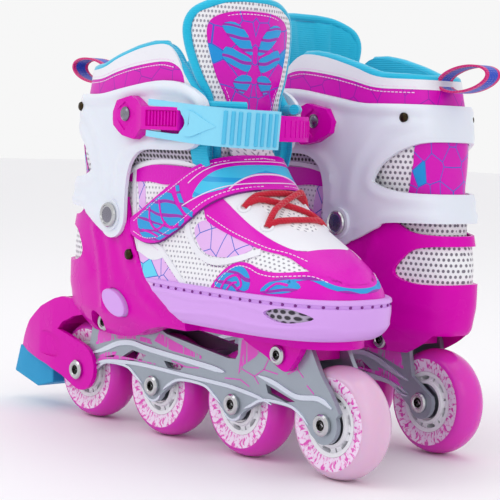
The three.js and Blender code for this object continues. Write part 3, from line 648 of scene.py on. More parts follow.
def ring_polar(tree, place):
    """Turn and radius round the nearest axle."""
    parts = add(tree, "ShaderNodeSeparateXYZ", {0: place})
    step = add(tree, "ShaderNodeMath", {0: parts.outputs["X"], 1: 76.0}, operation="FLOORED_MODULO")
    x = add(tree, "ShaderNodeMath", {0: step, 1: 38.0}, operation="SUBTRACT")
    z = add(tree, "ShaderNodeMath", {0: parts.outputs["Z"], 1: float(AXLE_Z)}, operation="SUBTRACT")
    turn = add(tree, "ShaderNodeMath", {0: z, 1: x}, operation="ARCTAN2")
    flat = add(tree, "ShaderNodeCombineXYZ", {"X": x, "Y": z})
    far = add(tree, "ShaderNodeVectorMath", {0: flat}, operation="LENGTH")
    return turn, far.outputs["Value"]


def printed_ring(name, colour, streak):
    """Printed ring under the clear side of a cast wheel: pale, with uneven streaks pointing outwards."""
    made, tree, shader, place, base, _ = surface(name, colour, 0.2, 0.8, 0.01, 0.03, Coat_Weight=0.6)
    turn, far = ring_polar(tree, place)
    around = add(tree, "ShaderNodeMath", {0: turn, 1: 3.2}, operation="MULTIPLY")
    out = add(tree, "ShaderNodeMath", {0: far, 1: 0.09}, operation="MULTIPLY")
    spread = add(tree, "ShaderNodeCombineXYZ", {"X": around, "Y": out})
    noise = add(tree, "ShaderNodeTexNoise", {
        "Vector": spread, "Scale": 3.2, "Detail": 3.0, "Distortion": 0.7,
    })
    mask = add(tree, "ShaderNodeMapRange", {"Value": noise.outputs[0], "From Min": 0.49, "From Max": 0.6})
    paint_over(tree, shader, base, mask.outputs[0], streak)
    return made


def streaked_print(name, colour, gaps):
    """Printed film on painted metal: broad slanted strokes with the paint showing between them."""
    made, tree, shader, place, base, _ = surface(name, colour, 0.35, 0.6, 0.02, 0.05, IOR=1.47)
    turned_place = add(
        tree, "ShaderNodeMapping", {"Vector": place, "Rotation": (0, 0.35, 0), "Scale": (0.32, 0.05, 0.05)}
    )
    noise = add(tree, "ShaderNodeTexNoise", {
        "Vector": turned_place, "Scale": 1.0, "Detail": 1.0, "Distortion": 1.2,
    })
    mask = add(tree, "ShaderNodeMapRange", {"Value": noise.outputs[0], "From Min": 0.56, "From Max": 0.6})
    paint_over(tree, shader, base, mask.outputs[0], gaps)
    return made


def make_materials():
    """Every finish, by the short name that the pieces use."""
    hue = colours()
    made = {
        # Moulded ABS: bright, even colour with a satin gloss.
        "shell": moulded("moulded_abs_magenta", hue.shell, 0.26, Specular_IOR_Level=0.1),
        # Moulded polypropylene: white, slightly waxy gloss.
        "cuff": moulded("moulded_polypropylene_white", hue.cuff, 0.32, Subsurface_Weight=0.08),
        # The same plastic in lilac, a little duller, which keeps the toe from glaring.
        "toe": moulded("moulded_abs_lilac", hue.toe, 0.36, Specular_IOR_Level=0.35),
        # Moulded nylon: a dry, even gloss; its ribs are the same nylon coloured a deeper blue, painted shade
        # that sets them off.
        "lever": moulded("moulded_nylon_sky", hue.lever, 0.3),
        "lever_rib": moulded("moulded_nylon_sky_painted_shade", linear("4CBFE6"), 0.3),
        # Blackened brass: a dark metal point on the plastic.
        "rivet_dark": moulded("blackened_brass", linear("3A3020"), 0.3, Metallic=1.0),
        # Hard rubber: dull, with a coarse skin.
        "pad": surface("moulded_rubber_blue", hue.pad, 0.62, 0.9, 0.12, 0.08)[0],
        # Silver paint on cast metal: fine bright flake under a satin coat.
        "frame": surface("painted_aluminium_silver", hue.frame, 0.34, 0.35, 0.02, 0.08, Metallic=0.6)[0],
        # The ribs: the same silver paint coloured brighter than the plate, a painted highlight along the
        # raised edges.
        "frame_rib": surface(
            "silver_paint_painted_highlight", linear("D6DEEA"), 0.25, 0.35, 0.03, 0.05, Metallic=0.6
        )[0],
        # Printed film on the frame: pink strokes with the paint between them, and thin lines.
        "frame_print": streaked_print("printed_film_pink", linear("E048C4"), ink("98A2AC")),
        "pink_film": surface("printed_film_thin", linear("E048C4"), 0.35, 0.6, 0.01, 0.05)[0],
        # Zinc plated steel: bright, with faint drawn lines from turning.
        "steel": surface("zinc_plated_steel", linear("C9CACC"), 0.2, 0.3, 0.02, 0.1, Metallic=1.0)[0],
        # Nickel plate: a darker, smoother metal than zinc.
        "cap": surface("domed_nickel_cap", linear("8E8C98"), 0.26, 0.4, 0.03, 0.12, Metallic=1.0)[0],
        # A dark metal as painted shade: the sockets of the bolts read as holes.
        "recess": surface("socket_painted_shade", linear("15120E"), 0.4, 0.4, 0.02, 0.1, Metallic=0.8)[0],
        # Cast polyurethane: deep, slightly clear colour with a wet gloss.
        "tyre": moulded(
            "cast_polyurethane_magenta", hue.tyre, 0.16, Subsurface_Weight=0.25, Specular_IOR_Level=0.35
        ),
        "tyre_clear": moulded(
            "cast_polyurethane_clear_pink", linear("FBC6E6"), 0.14,
            Subsurface_Weight=0.3, Transmission_Weight=0.2,
        ),
        # Moulded nylon core and the printed ring round it: white, then pink streaks.
        "hub": moulded("moulded_nylon_white", linear("EDEDF2"), 0.35),
        "ring": printed_ring("printed_ring_pale", linear("F1D9F2"), ink("DC3CB4")),
        # Spacer mesh: small open rows coloured grey on white, painted shade inside the openings.
        "mesh": air_mesh("spacer_mesh_white", linear("F0F0F4"), ink("A9A6B4"), 3.3, 0.72),
        "mesh_front": air_mesh("spacer_mesh_tongue", linear("EEEEF2"), ink("9C99A8"), 2.9, 0.8, "front"),
        "mesh_side": air_mesh("spacer_mesh_open", linear("F2F2F6"), ink("77717F"), 4.2, 1.2, "back", 1.25),
        "mesh_grey": air_mesh("hexagon_mesh_grey", linear("B9B2C2"), ink("2E2A33"), 3.4, 1.25, "back", 1.1),
        # Coated synthetic leather, plain or printed: a fine pebble and a soft gloss.
        "leather": grained_leather("coated_leather_white", linear("EAEAF1")),
        "leather_magenta": grained_leather("coated_leather_magenta", linear("DC00BC"), 0.3, 0.25),
        "collar": shard_print(
            "printed_leather_magenta", linear("D600B6"), ink("9A1AA8"), ink("1A86CC"), 0.93, 15
        ),
        "patch": shard_print(
            "printed_leather_shards", linear("D600B6"), ink("4A5AC8"), ink("1590D8"), 0.86, 11, roughness=0.18
        ),
        "lilac_print": shard_print(
            "printed_leather_lilac", linear("E6B8F0"), ink("4466C8"), ink("62D2F0"), 0.87, 12, "top",
            seed=31.0,
        ),
        "blue_print": flame_print("printed_film_blue", linear("0C9ADC"), ink("9A10A8")),
        "sky_print": flame_print("printed_film_sky", linear("3CC4EC"), ink("18A0DC"), size=9.0),
        # Brushed tricot and knitted binding: soft and dull, bright at the edges.
        "lining": brushed_cloth("brushed_tricot_teal", hue.lining),
        "binding": brushed_cloth("knitted_binding_teal", hue.lining),
        # Webbing, braid and thread: yarns drawn as coarse as they need to show.
        "webbing": woven("woven_webbing_blue", linear("D80A7A"), ink("2A4AC0"), 1.2, band=3.7),
        "lace": woven("braided_lace_crimson", hue.lace, ink("B00030"), 1.3),
        "thread": surface("sewing_thread_white", linear("F6DCF4"), 0.7, 0.3, 0.05, 0.05)[0],
        # Dark purple: thread along the strap's edge, and painted shade in the stitch and seam holes.
        "dark_thread_and_hole_shade": surface("purple_thread_and_hole_shade", linear("7A1E86"), 0.7, 0.3, 0.05, 0.05)[0],
    }
    return made


MATERIALS = {}


def put(
    name, bm, part, finish, replaces=(), sides="rl", sharp=38, bevel=0.0, bend=None
):
    """Sets a finished shape down on each skate, as a piece that rides on one of its bodies; given bend, the
    piece stays fixed in place without a body, and the bend heights are not used.
    """
    made = []
    for side in sides:
        shape = bm.copy()
        layer = shape.verts.layers.float_vector.new("skate_mm")
        for v in shape.verts:
            v[layer] = v.co
        shape.transform(PLACES[side])
        if side == "l":
            bmesh.ops.reverse_faces(shape, faces=shape.faces)
        mesh = bpy.data.meshes.new(f"{name}_{side}")
        shape.to_mesh(mesh)
        shape.free()
        mesh.shade_smooth()
        mesh.set_sharp_from_angle(angle=math.radians(sharp))
        mesh.materials.append(MATERIALS[finish])
        piece = bpy.data.objects.new(f"{name}_{side}", mesh)
        bpy.context.scene.collection.objects.link(piece)
        if bevel:
            edge = piece.modifiers.new("edges", "BEVEL")
            edge.width = bevel * MM
            edge.segments = 2
            edge.limit_method = "ANGLE"
            edge.angle_limit = math.radians(40)
            edge.harden_normals = True
        if bend:
            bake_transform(piece)
        else:
            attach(piece, body_of(side, part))
        if replaces:
            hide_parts(*(f"{node}_{side}" for node in replaces))
        made.append(piece)
    return made


# ---- boot surfaces ----
def levels_of(rows):
    """Sections from rows of height, back, middle, front and half width."""
    return [dict(zip(("z", "back", "mid", "front", "half"), row)) for row in rows]


HEEL = levels_of([
    (58, -109, 20, 60, 24.5), (70, -125, 20, 60, 31.8), (77.3, -131, 20, 60, 34.6), (92, -133, 20, 60, 34.8),
    (112, -133, 20, 60, 34.8), (134, -129, 20, 60, 34.8), (152, -121, 20, 60, 34.8),
])
CUFF = levels_of([
    (112, -126, 20, 60, 35.4), (141, -124, 20, 60, 35.4), (160, -119.5, 15, 58, 35.4),
    (190, -117, 8, 52, 35.4), (206, -114, 6, 50, 35.4), (224, -108, 5, 48, 35.4),
])
LINER = levels_of([
    (104, -124, 20, 56, 26), (122, -123, 20, 56, 26), (141, -122.4, 20, 54, 26.6), (160, -118, 15, 48, 28),
    (171, -117, 12, 46, 31.4), (181, -116, 10, 48, 33.8), (190, -115.6, 8, 50.6, 34),
    (206, -112.6, 6, 48.6, 34), (224, -108, 5, 47, 33.6), (246, -104, 4, 44, 31.5),
])
TOE = levels_of([
    (78.6, -70, 62, 122, 37.6), (81, -70, 62, 126, 40), (86, -70, 62, 130, 41.6), (95, -70, 62, 131.4, 42),
    (97.2, -70, 62, 131.3, 41.9), (97.8, -70, 62, 130.4, 41), (98.8, -70, 62, 130.4, 41),
    (99.5, -70, 62, 131.6, 42.2), (101.4, -70, 62, 131.2, 42), (102, -70, 62, 130.2, 41.2),
])
UPPER = levels_of([
    (84, -110, 62, 125, 38.4), (95, -110, 62, 128, 38.9), (104, -110, 60, 126, 38.4),
    (115, -110, 52, 117.5, 36.5), (127, -110, 36, 98.5, 34.5), (138, -110, 24, 77.5, 33),
    (150, -110, 12, 58.5, 32.5), (160, -110, 8, 47.5, 32), (168, -110, 4, 40, 31.5),
    (182, -110, -2, 30, 31),
])
HEEL_POWER, CUFF_POWER, TOE_POWER = 2.8, 3.4, 2.6
WING = [(15, 79.3), (6, 85), (-19, 99), (-28, 109), (-39, 125), (-47, 140)]


def wing_room(shift=0.6, half=31):
    """The room that the sides of the heel shell take from the boot."""
    edge = eased([(x + shift, z) for x, z in WING], 5, False)
    outline = [(-400, 50), (edge[0][0], 50), *edge, (edge[-1][0], 260), (-400, 260)]
    return together(plate(outline, half, 200), plate(outline, -200, -half))


# ---- hard parts ----
def heel_outline():
    """The outline of the heel shell in the side view."""
    rim = [(-46, 146), (-50, 148.5), (-85, 148.5), (-100, 139), (-115, 133.8), (-160, 133.4), (-160, 133.4)]
    foot = [(-160, 60), (-160, 60), (-118, 60.5), (-62, 61), (-40, 64), (-24, 69.5), (-8, 73.3), (-8, 73.3)]
    return eased(
        foot + [(15, 73.3), (15, 73.3), (15, 79.3), (6, 85), (-19, 99), (-28, 109), (-39, 125)] + rim, 5
    )


def heel_shell():
    """The heel shell with its sole plate, mounting blocks, vents and raised edges."""
    roll = sizes().rolled_edge / MM
    edge = [(11, 80), (2, 86), (-22, 100), (-32, 111), (-43, 127), (-51, 142)]
    body = emboss(
        loft(fine(HEEL, 1.8), HEEL_POWER, 200),
        strokes=[
            (eased(edge, 4, False), 4.6, roll + 0.9),
            (eased([(-84, 128), (-76, 112), (-72, 96), (-70, 78)], 4, False), 5.0, -1.3),
            (eased([(-66, 124), (-60, 108), (-57, 96)], 4, False), 5.0, 0.9),
            (eased([(-52, 126), (-44, 111), (-34, 98), (-24, 88), (-8, 81)], 4, False), 5.0, -1.3),
            (eased([(-100, 68), (-60, 64), (-30, 70), (10, 77)], 4, False), 4.0, 0.8),
        ],
        fields=[(eased([
            (-133, 86), (-110, 84), (-84, 92), (-82, 104), (-100, 118), (-135, 126),
        ], 4), 8, 0.9)],
    )
    shell = carve(body, plate(heel_outline(), -90, 90), "INTERSECT")
    hollow = [dict(level, z=max(level["z"], 78.3)) for level in fine(HEEL, 3, -2.2) if level["z"] > 76]
    hollow.append(dict(hollow[-1], z=220))
    shell = carve(shell, loft(hollow, HEEL_POWER, 120))
    shell = carve(shell, block((-400, -15.3, 0), (400, 15.3, 73.3)))
    vent = eased([
        (-99, 109), (-104, 119), (-116, 126), (-150, 128), (-150, 128), (-150, 106), (-150, 106),
        (-116, 104),
    ], 4)
    shell = carve(shell, plate(vent, -90, 90))
    arc = [(95 + 24 * math.sin(a), -24 * math.cos(a)) for a in (k * math.pi / 24 for k in range(25))]
    shell = carve(shell, plate([(-60, -24), *arc, (-60, 24)], 73.3, 78.3, "z"), "UNION")
    shell = carve(shell, block((-100, -11.7, 65), (-60, 11.7, 77.3)), "UNION")
    shell = carve(shell, block((64, -11.7, 65), (98, 11.7, 77.3)), "UNION")
    cheek = eased([
        (50, 77.3), (50, 77.3), (51, 72), (70, 65), (84, 58.6), (90, 59.8), (98, 70), (101, 77.3),
        (101, 77.3),
    ], 4)
    for low, high in ((15.3, 19.8), (-19.8, -15.3)):
        shell = carve(shell, plate(cheek, low, high), "UNION")
    for low, high in ((19.8, 90), (-90, -19.8)):
        shell = carve(shell, rod(7.6, -83, 67, low, high))
    for x, z, radius in ((81, 67, 3.3), (-83, 67, 3.3), (*PIVOT, 4.4)):
        shell = carve(shell, rod(radius, x, z, -90, 90))
    return carve(shell, plate(button_outline(0.45), -90, -20))


def button_outline(grow):
    """The tilted oval of the size button, grown by a gap."""
    made = []
    for k in range(40):
        a = 2 * math.pi * k / 40
        x, z = (12.5 + grow) * math.cos(a), (6.8 + grow) * math.sin(a)
        made.append((
            -53 + x * math.cos(-0.45) - z * math.sin(-0.45), 83 + x * math.sin(-0.45) + z * math.cos(-0.45)
        ))
    return made


class SKATES_OT_shells(bpy.types.Operator):
    """Builds the heel shells with their vents, size buttons and small rivets"""

    bl_idname = "skates.shells"
    bl_label = "Heel shells"

    def execute(self, context):
        put("heel_shell", heel_shell(), "skate", "shell", ["heel_shell"], sharp=32)
        vent = [(-96, 102), (-102, 122), (-116, 129), (-160, 131), (-160, 101)]
        put("heel_vent_mesh", overlay(
            HEEL, HEEL_POWER, vent, -2.9, -2.3
        ), "skate", "mesh_side")
        button = plate(button_outline(0), -37.2, -31.3)
        put("size_button", button, "button", "toe", ["size_button"], bevel=1.1)
        rivet_y = abs(skin_point(HEEL, HEEL_POWER, -39.6, 114).y) + 1.9
        domes = together(*(rivet_dome(-39.6, 114, s * rivet_y, s, 3.3, 1.7) for s in (-1, 1)))
        put("heel_rivet", domes, "skate", "rivet_dark")
        return {"FINISHED"}


def rivet_dome(x, z, y, side, radius, height):
    """A shallow dome with a stepped rim, standing on a face."""
    profile = [
        (0.0, height), (radius * 0.35, height * 0.97), (radius * 0.6, height * 0.82),
        (radius * 0.76, height * 0.6), (radius * 0.8, height * 0.5), (radius * 0.86, height * 0.62),
        (radius * 0.96, height * 0.5), (radius, height * 0.2), (radius, -1.2), (0.0, -1.2),
    ]
    return turned([(r, y + side * h) for r, h in profile], x, z, 40, closed=False)


def cuff_outline():
    """The outline of the cuff with the round tabs of its hinge."""
    tab = [
        (PIVOT[0] + 14 * math.cos(a), PIVOT[1] + 14 * math.sin(a))
        for a in (-k * 2.3 / 12 for k in range(13))
    ]
    top = [
        (-170, 211), (-170, 211), (-100, 211), (-73, 211), (-52, 214), (-15, 219), (8, 218), (24, 212),
        (30, 205), (29, 195), (25, 184), (16, 179.5), (-4, 178.6), (-25, 178), (-35, 174), (-41, 166),
        (-43.5, 154), (-44, 142),
    ]
    return eased(top, 4, False) + tab + eased([
        (-68, 126.5), (-76, 130), (-88, 136), (-100, 140), (-170, 141),
    ], 4, False)


CUFF_WINDOW = [
    (-84, 166), (-90, 175), (-104, 184.5), (-122, 189.5), (-170, 190), (-170, 190), (-170, 158),
    (-170, 158), (-112, 158), (-94, 160), (-85, 163),
]


def cuff():
    """The cuff with its rolled rims, sunk panels, window and hinge seats."""
    roll = sizes().rolled_edge / MM
    body = emboss(
        loft(fine(CUFF, 1.8, 2.5), CUFF_POWER, 220),
        strokes=[
            (eased([
                (-170, 208), (-100, 208), (-66, 209), (-40, 213), (-12, 215.6), (8, 214.5), (22, 209),
                (27, 201),
            ], 3, False), 5.5, roll + 1.2),
            (eased([
                (-170, 199), (-108, 199), (-88, 196), (-76, 184), (-68, 168), (-66, 152),
            ], 4, False), 7.0, 1.3),
            (eased([
                (22, 185), (0, 183), (-26, 182), (-42, 176), (-51, 164), (-51, 150),
            ], 4, False), 5.5, 2.0),
            (eased([
                (-170, 154), (-112, 154), (-90, 156), (-80, 163), (-86, 177), (-102, 188), (-122, 194),
                (-170, 195),
            ], 4, False), 4.5, roll),
            (eased([(-170, 145), (-100, 144), (-86, 139), (-74, 134)], 4, False), 4.0, roll),
        ],
        fields=[(eased([
            (-60, 198), (-46, 209), (-8, 211), (20, 206), (20, 190), (-18, 187), (-48, 186),
        ], 4), 7, -1.3)],
    )
    shell = carve(body, plate(cuff_outline(), -90, 90), "INTERSECT")
    seat = carve(rod(9.5, *PIVOT, -37.9, 37.9, 40), together(
        block((-90, -50, 0), (0, -33.9, 300)), block((-90, 33.9, 0), (0, 50, 300))
    ), "INTERSECT")
    shell = carve(shell, seat, "UNION")
    shell = carve(shell, loft([
        dict(fine(CUFF, 3)[0], z=100), *fine(CUFF, 3), dict(fine(CUFF, 3)[-1], z=260),
    ], CUFF_POWER, 150))
    shell = carve(shell, plate(eased(CUFF_WINDOW, 4), -90, 90))
    return carve(shell, rod(4.4, *PIVOT, -90, 90))


class SKATES_OT_cuffs(bpy.types.Operator):
    """Builds the hinged cuffs with their pivot rivets and rear rivets"""

    bl_idname = "skates.cuffs"
    bl_label = "Cuffs"

    def execute(self, context):
        put("cuff", cuff(), "cuff", "cuff", ["cuff"], sharp=32)
        for name, side in (("outer", -1), ("inner", 1)):
            ring = turned([
                (r, side * y)
                for r, y in (
                    (4.1, 38.2), (7.5, 38.2), (7.6, 39.0), (7.0, 39.9), (5.9, 40.2), (5.6, 39.6),
                    (4.1, 39.5),
                )
            ], *PIVOT, 48)
            post = turned([
                (r, side * y)
                for r, y in (
                    (0.0, 39.9), (3.2, 39.8), (5.4, 39.5), (5.4, 38.9), (4.0, 38.9), (4.0, 28.5),
                    (7.5, 28.5), (7.5, 27.0), (0.0, 27.0),
                )
            ], *PIVOT, 48, closed=False)
            put(f"cuff_rivet_{name}", post, "skate", "cap", [f"cuff_rivet_{name}"])
            put(f"cuff_rivet_rim_{name}", ring, "skate", "steel")
        points = [(s * skin_point(CUFF, CUFF_POWER, -103, 203, 3.6, 1).y, s) for s in (-1, 1)]
        domes = together(*(rivet_dome(-103, 203, y, s, 2.9, 1.3) for y, s in points))
        put("cuff_rear_rivet", domes, "cuff", "rivet_dark")
        return {"FINISHED"}


# ---- frame, wheels and bolts ----
def lobe(x, z, radius, start, end, steps=9):
    """An arc round an axle."""
    return [
        (x + radius * math.cos(
            start + (end - start) * k / steps
        ), z + radius * math.sin(start + (end - start) * k / steps))
        for k in range(steps + 1)
    ]


def frame_outline():
    """The outline of a side plate: forward along its top, down the nose, and back from axle to axle."""
    x1, x2, x3, x4 = AXLES
    z = AXLE_Z
    line = [
        (x1 + 12, 67), (x1 + 17, 73), (x2 + 4, 73), (x2 + 7, 67.5), (x2 + 12, 65.6),
        (x3 - 6, 58.4), (x3 + 1, 58.8), (x3 + 3, 62), (x3 + 3, 73), (102, 73),
    ]
    line += eased([(102, 73), (x4 - 3, 59), (x4 + 5, 50), (x4 + 12, 40)], 3, False)[1:]
    line += lobe(x4, z, 11, 0.45, -1.9)
    line += eased([(x4 - 9, 25), (x4 - 18, 34), (x4 - 27, 37.4), (x3 + 27, 37.4), (x3 + 17, 33)], 4, False)
    line += lobe(x3, z, 10, -0.35, -2.7)
    line += eased([(x3 - 16, 33), (x3 - 27, 38.4), (x2 + 27, 38.6), (x2 + 17, 34)], 4, False)
    line += lobe(x2, z, 10, -0.35, -2.7)
    line += eased([(x2 - 16, 34), (x2 - 27, 39.4), (x1 + 27, 39.4), (x1 + 17, 34)], 4, False)
    line += lobe(x1, z, 10, -0.35, -3.6)
    return line + [(x1 + 8, 47)]


FRAME_SLOTS = [
    [(-76, 43), (-60, 51.5), (-46, 50), (-51, 45.5)],
    [(-28, 49), (-8, 48.5), (-12, 45), (-24, 45)],
    [(66, 48), (91, 41.5), (84, 40), (68, 43)],
]
UPPER_RIB = [
    (-103, 44), (-90, 48), (-74, 54), (-60, 56), (-46, 54.6), (-20, 53), (8, 51.5), (24, 50.4), (30, 50),
]
LOWER_RIB = [
    (-103, 36), (-88, 40.8), (-60, 43.4), (-38, 43.6), (-10, 43), (20, 42.6), (38, 42), (60, 39.6),
    (72, 37),
]
FRONT_RIB = [(60, 52), (74, 49.6), (92, 44.6), (110, 46), (121, 42)]


def frame_body():
    """The chassis: side plates with their slots, and the webs that join them."""
    outline = frame_outline()
    body = together(plate(outline, 12, 15), plate(outline, -15, -12))
    for slot in FRAME_SLOTS:
        body = carve(body, plate(eased([p for p in slot for _ in (0, 1)], 1), -90, 90))
    for x, low, high in ((-76, 52, 62), (0, 46, 58), (76, 50, 62)):
        body = carve(body, block((x - 4, -15, low), (x + 4, 15, high)), "UNION")
    for x in AXLES:
        for low, high in ((-12.5, -10.7), (10.7, 12.5)):
            body = carve(body, rod(6, x, AXLE_Z, low, high), "UNION")
        body = carve(body, rod(4.3, x, AXLE_Z, -90, 90))
    for x in (81, -83):
        body = carve(body, rod(3.3, x, 67, -90, 90))
    return body


def rib(points, width, rise=0.9):
    """A raised rib with a rounded back on both outer faces of the frame."""
    line = eased(points, 4, False)
    upper, lower = [], []
    for k, (x, z) in enumerate(line):
        a, b = Vector(line[max(k - 1, 0)]), Vector(line[min(k + 1, len(line) - 1)])
        side = (b - a).normalized().orthogonal() * width / 2
        taper = min(1, 0.25 + 1.2 * min(k, len(line) - 1 - k) / len(line) * 4)
        upper.append((x + side.x * taper, z + side.y * taper))
        lower.append((x - side.x * taper, z - side.y * taper))
    outline = upper + lower[::-1]
    return together(plate(outline, 14.8, 15 + rise), plate(outline, -15 - rise, -14.8))


class SKATES_OT_frames(bpy.types.Operator):
    """Builds the wheel frames with their ribs and printed panels"""

    bl_idname = "skates.frames"
    bl_label = "Wheel frames"

    def execute(self, context):
        put("frame", frame_body(), "skate", "frame", ["frame"], bevel=0.55)
        rims = []
        for points, width in ((UPPER_RIB, 3.4), (LOWER_RIB, 2.4), (FRONT_RIB, 3.0)):
            rims.append(rib(points, width))
        arches = [
            [(-104, 33.5), (-97, 34), (-87, 39.2), (-66, 39.8), (-55, 34.5), (-48.5, 31)],
            [(-27.5, 30), (-22, 34), (-11, 38.6), (11, 38.6), (21, 33.6), (27.4, 30)],
            [(48.4, 30), (55, 33.2), (65, 37.6), (86, 37.8), (96, 34), (103, 29)],
        ]
        rims += [rib([(x, z + 1.0) for x, z in arch], 1.8, 0.7) for arch in arches]
        rims += [rib([(x, z) for x, z in lobe(a, AXLE_Z, 9.1, -0.5, -2.6, 8)], 1.6, 0.7) for a in AXLES[1:3]]
        # The ribs take the brighter silver: a painted highlight on the frame's raised edges.
        put("frame_ribs", together(*rims), "skate", "frame_rib", bevel=0.4)
        panels = [
            [
                (-99, 50), (-93, 68), (-80, 66), (-60, 61.5), (-42, 60.5), (-40, 57.5), (-60, 58.6),
                (-76, 56.6),
            ],
            [(-38, 60), (-33, 65.5), (-18, 62), (8, 56.5), (8, 54.6), (-20, 56)],
            [
                (-99, 38.5), (-94, 42.4), (-78, 46), (-62, 46.2), (-36, 46), (-36, 45.4), (-60, 45.2),
                (-86, 42.4), (-98, 37.4),
            ],
            [(-96, 42.6), (-88, 46.6), (-76, 48.4), (-79, 44.6)],
            [(44, 71), (66, 71), (56, 62), (46, 56), (42, 50)],
        ]
        sheets = [
            plate(p, s * 15.0 if s > 0 else -15.12, 15.12 if s > 0 else -15.0)
            for p in panels
            for s in (-1, 1)
        ]
        put("frame_print", together(*sheets), "skate", "frame_print")
        cracks = [
            [(44, 54), (56, 51), (64, 56), (76, 55)], [(56, 51), (60, 47)], [(64, 56), (68, 63)],
            [(30, 46.4), (44, 47.4), (52, 44.4)], [(-20, 50), (-6, 48), (6, 49)],
            [(84, 56), (92, 60), (97, 56)], [(92, 60), (92, 66)], [(100, 52), (106, 48)],
        ]
        lines = [
            plate(ribbon(c, 0.7, steps=1), *sorted((s * 14.9, s * 15.13))) for c in cracks for s in (-1, 1)
        ]
        put("frame_print_lines", together(*lines), "skate", "pink_film")
        return {"FINISHED"}


def wheel_core(x):
    """The spoked core: a rim, a boss and the pierced web between them."""
    rim = sizes().hub_radius / MM
    ring = turned([(rim - 2.4, 9.2), (rim, 9.6), (rim, -9.6), (rim - 2.4, -9.2)], x, AXLE_Z, 72)
    boss = turned([
        (11.3, 10.4), (12.9, 10.2), (13.4, 9.0), (13.4, -9.0), (12.9, -10.2), (11.3, -10.4),
    ], x, AXLE_Z, 72)
    web = turned([(12.8, 8.4), (rim - 2.2, 8.0), (rim - 2.2, -8.0), (12.8, -8.4)], x, AXLE_Z, 72)
    cuts = []
    for k in range(6):
        a = math.pi / 3 * k + 0.3
        for turn, long, short in ((a, 3.5, 1.55), (a + math.pi / 6, 0.75, 1.5)):
            at = (x + 14.7 * math.cos(turn), AXLE_Z + 14.7 * math.sin(turn))
            oval = []
            for s in range(20):
                b = 2 * math.pi * s / 20
                u, w = short * math.cos(b), long * math.sin(b)
                oval.append((
                    at[0] + u * math.cos(turn) - w * math.sin(turn),
                    at[1] + u * math.sin(turn) + w * math.cos(turn),
                ))
            cuts.append(plate(oval, -20, 20))
    web = carve(web, together(*cuts))
    return carve(carve(ring, web, "UNION"), boss, "UNION")


def tyre(x):
    """The cast tyre, crowned at the ground."""
    rim = sizes().hub_radius / MM
    r = sizes().tyre_radius / MM
    half = [
        (rim + 0.1, 9.4), (20.5, 9.9), (23.5, 10.6), (26.3, 10.95), (28.2, 10.1), (29.8, 8.2), (31.0, 5.6),
        (31.75, 2.8),
    ]
    return turned(half + [(r, 0)] + [(a, -b) for a, b in reversed(half)], x, AXLE_Z, 96)


def ring_label(x):
    """The thin printed rings on both faces of a wheel."""
    rings = []
    for s in (1, -1):
        points = [
            (18.6, 9.45), (20.5, 9.95), (23.5, 10.65), (26.2, 10.98), (26.2, 10.8), (23.5, 10.4),
            (18.6, 9.2),
        ]
        rings.append(turned([(a, s * (b + 0.06)) for a, b in points], x, AXLE_Z, 96))
    return together(*rings)


def star_recess(x, z, radius, low, high):
    """A six-lobed bar."""
    points = []
    for k in range(24):
        a = 2 * math.pi * k / 24
        r = radius * (1 + 0.2 * math.cos(6 * a))
        points.append((x + r * math.cos(a), z + r * math.sin(a)))
    return plate(points, low, high)


def bolt(x, z, radius, seat, height, shaft):
    """A cross bolt with chamfered round heads and a six-lobed socket in each."""
    end = seat + height
    half = [
        (shaft, seat), (radius, seat), (radius, end - 0.9), (radius - 0.9, end), (radius * 0.62, end),
        (radius * 0.55, end - 0.5), (0.0, end - 0.5),
    ]
    body = turned([(r, -y) for r, y in reversed(half)] + half, x, z, 48, closed=False)
    sockets = together(star_recess(x, z, radius * 0.34, end - 1.9, end + 2), star_recess(
        x, z, radius * 0.34, -end - 2, -end + 1.9
    ))
    return carve(body, sockets)


def bolt_cup(x, z, radius, end):
    """Dark cups at the floors of a bolt's sockets: painted shade in the holes."""
    cups = [rod(radius * 0.5, x, z, *sorted((s * (end - 1.7), s * (end - 0.46))), 32) for s in (-1, 1)]
    lobes = together(star_recess(x, z, radius * 0.32, -90, 90))
    return carve(together(*cups), lobes)


class SKATES_OT_wheels(bpy.types.Operator):
    """Builds the wheels, bearings and every bolt of the frames"""

    bl_idname = "skates.wheels"
    bl_label = "Wheels and bolts"

    def execute(self, context):
        for n, x in enumerate(AXLES, 1):
            part = f"wheel_{n}"
            clear = n == 4
            put(
                f"tyre_{n}", tyre(x), part, "tyre_clear" if clear else "tyre", [part],
            )
            put(f"wheel_core_{n}", wheel_core(x), part, "hub", [part], bevel=0.25)
            put(f"wheel_ring_{n}", ring_label(x), part, "ring")
            bearing = turned([
                (4.5, 10.3), (6.0, 10.3), (6.2, 10.0), (8.8, 10.0), (9.0, 10.3), (11, 10.3), (11, 3.4),
                (6, 3.4), (6, -3.4), (11, -3.4), (11, -10.3), (9.0, -10.3), (8.8, -10.0), (6.2, -10.0),
                (6.0, -10.3), (4.5, -10.3),
            ], x, AXLE_Z, 48)
            put(f"bearings_{n}", bearing, part, "steel", [f"bearings_{n}"])
            for side in "rl":
                seat = 18.6 if side == "r" and n == 1 else 15.3
                put(
                    f"axle_{n}", bolt(x, AXLE_Z, 6.2, seat, 2.4, 4), "skate", "steel", [f"axle_{n}"],
                    side,
                )
                # The dark cups are painted shade in the sockets.
                put(
                    f"axle_socket_{n}", bolt_cup(x, AXLE_Z, 6.2, seat + 2.4), "skate", "recess",
                    sides=side,
                )
        for name, x in (("front_mount_bolt", 81), ("rear_mount_bolt", -83)):
            put(name, bolt(x, 67, 5.6, 20.1, 2.2, 3), "skate", "steel", [name])
            # The dark cups are painted shade in the sockets.
            put(f"{name}_socket", bolt_cup(x, 67, 5.6, 22.3), "skate", "recess")
        return {"FINISHED"}


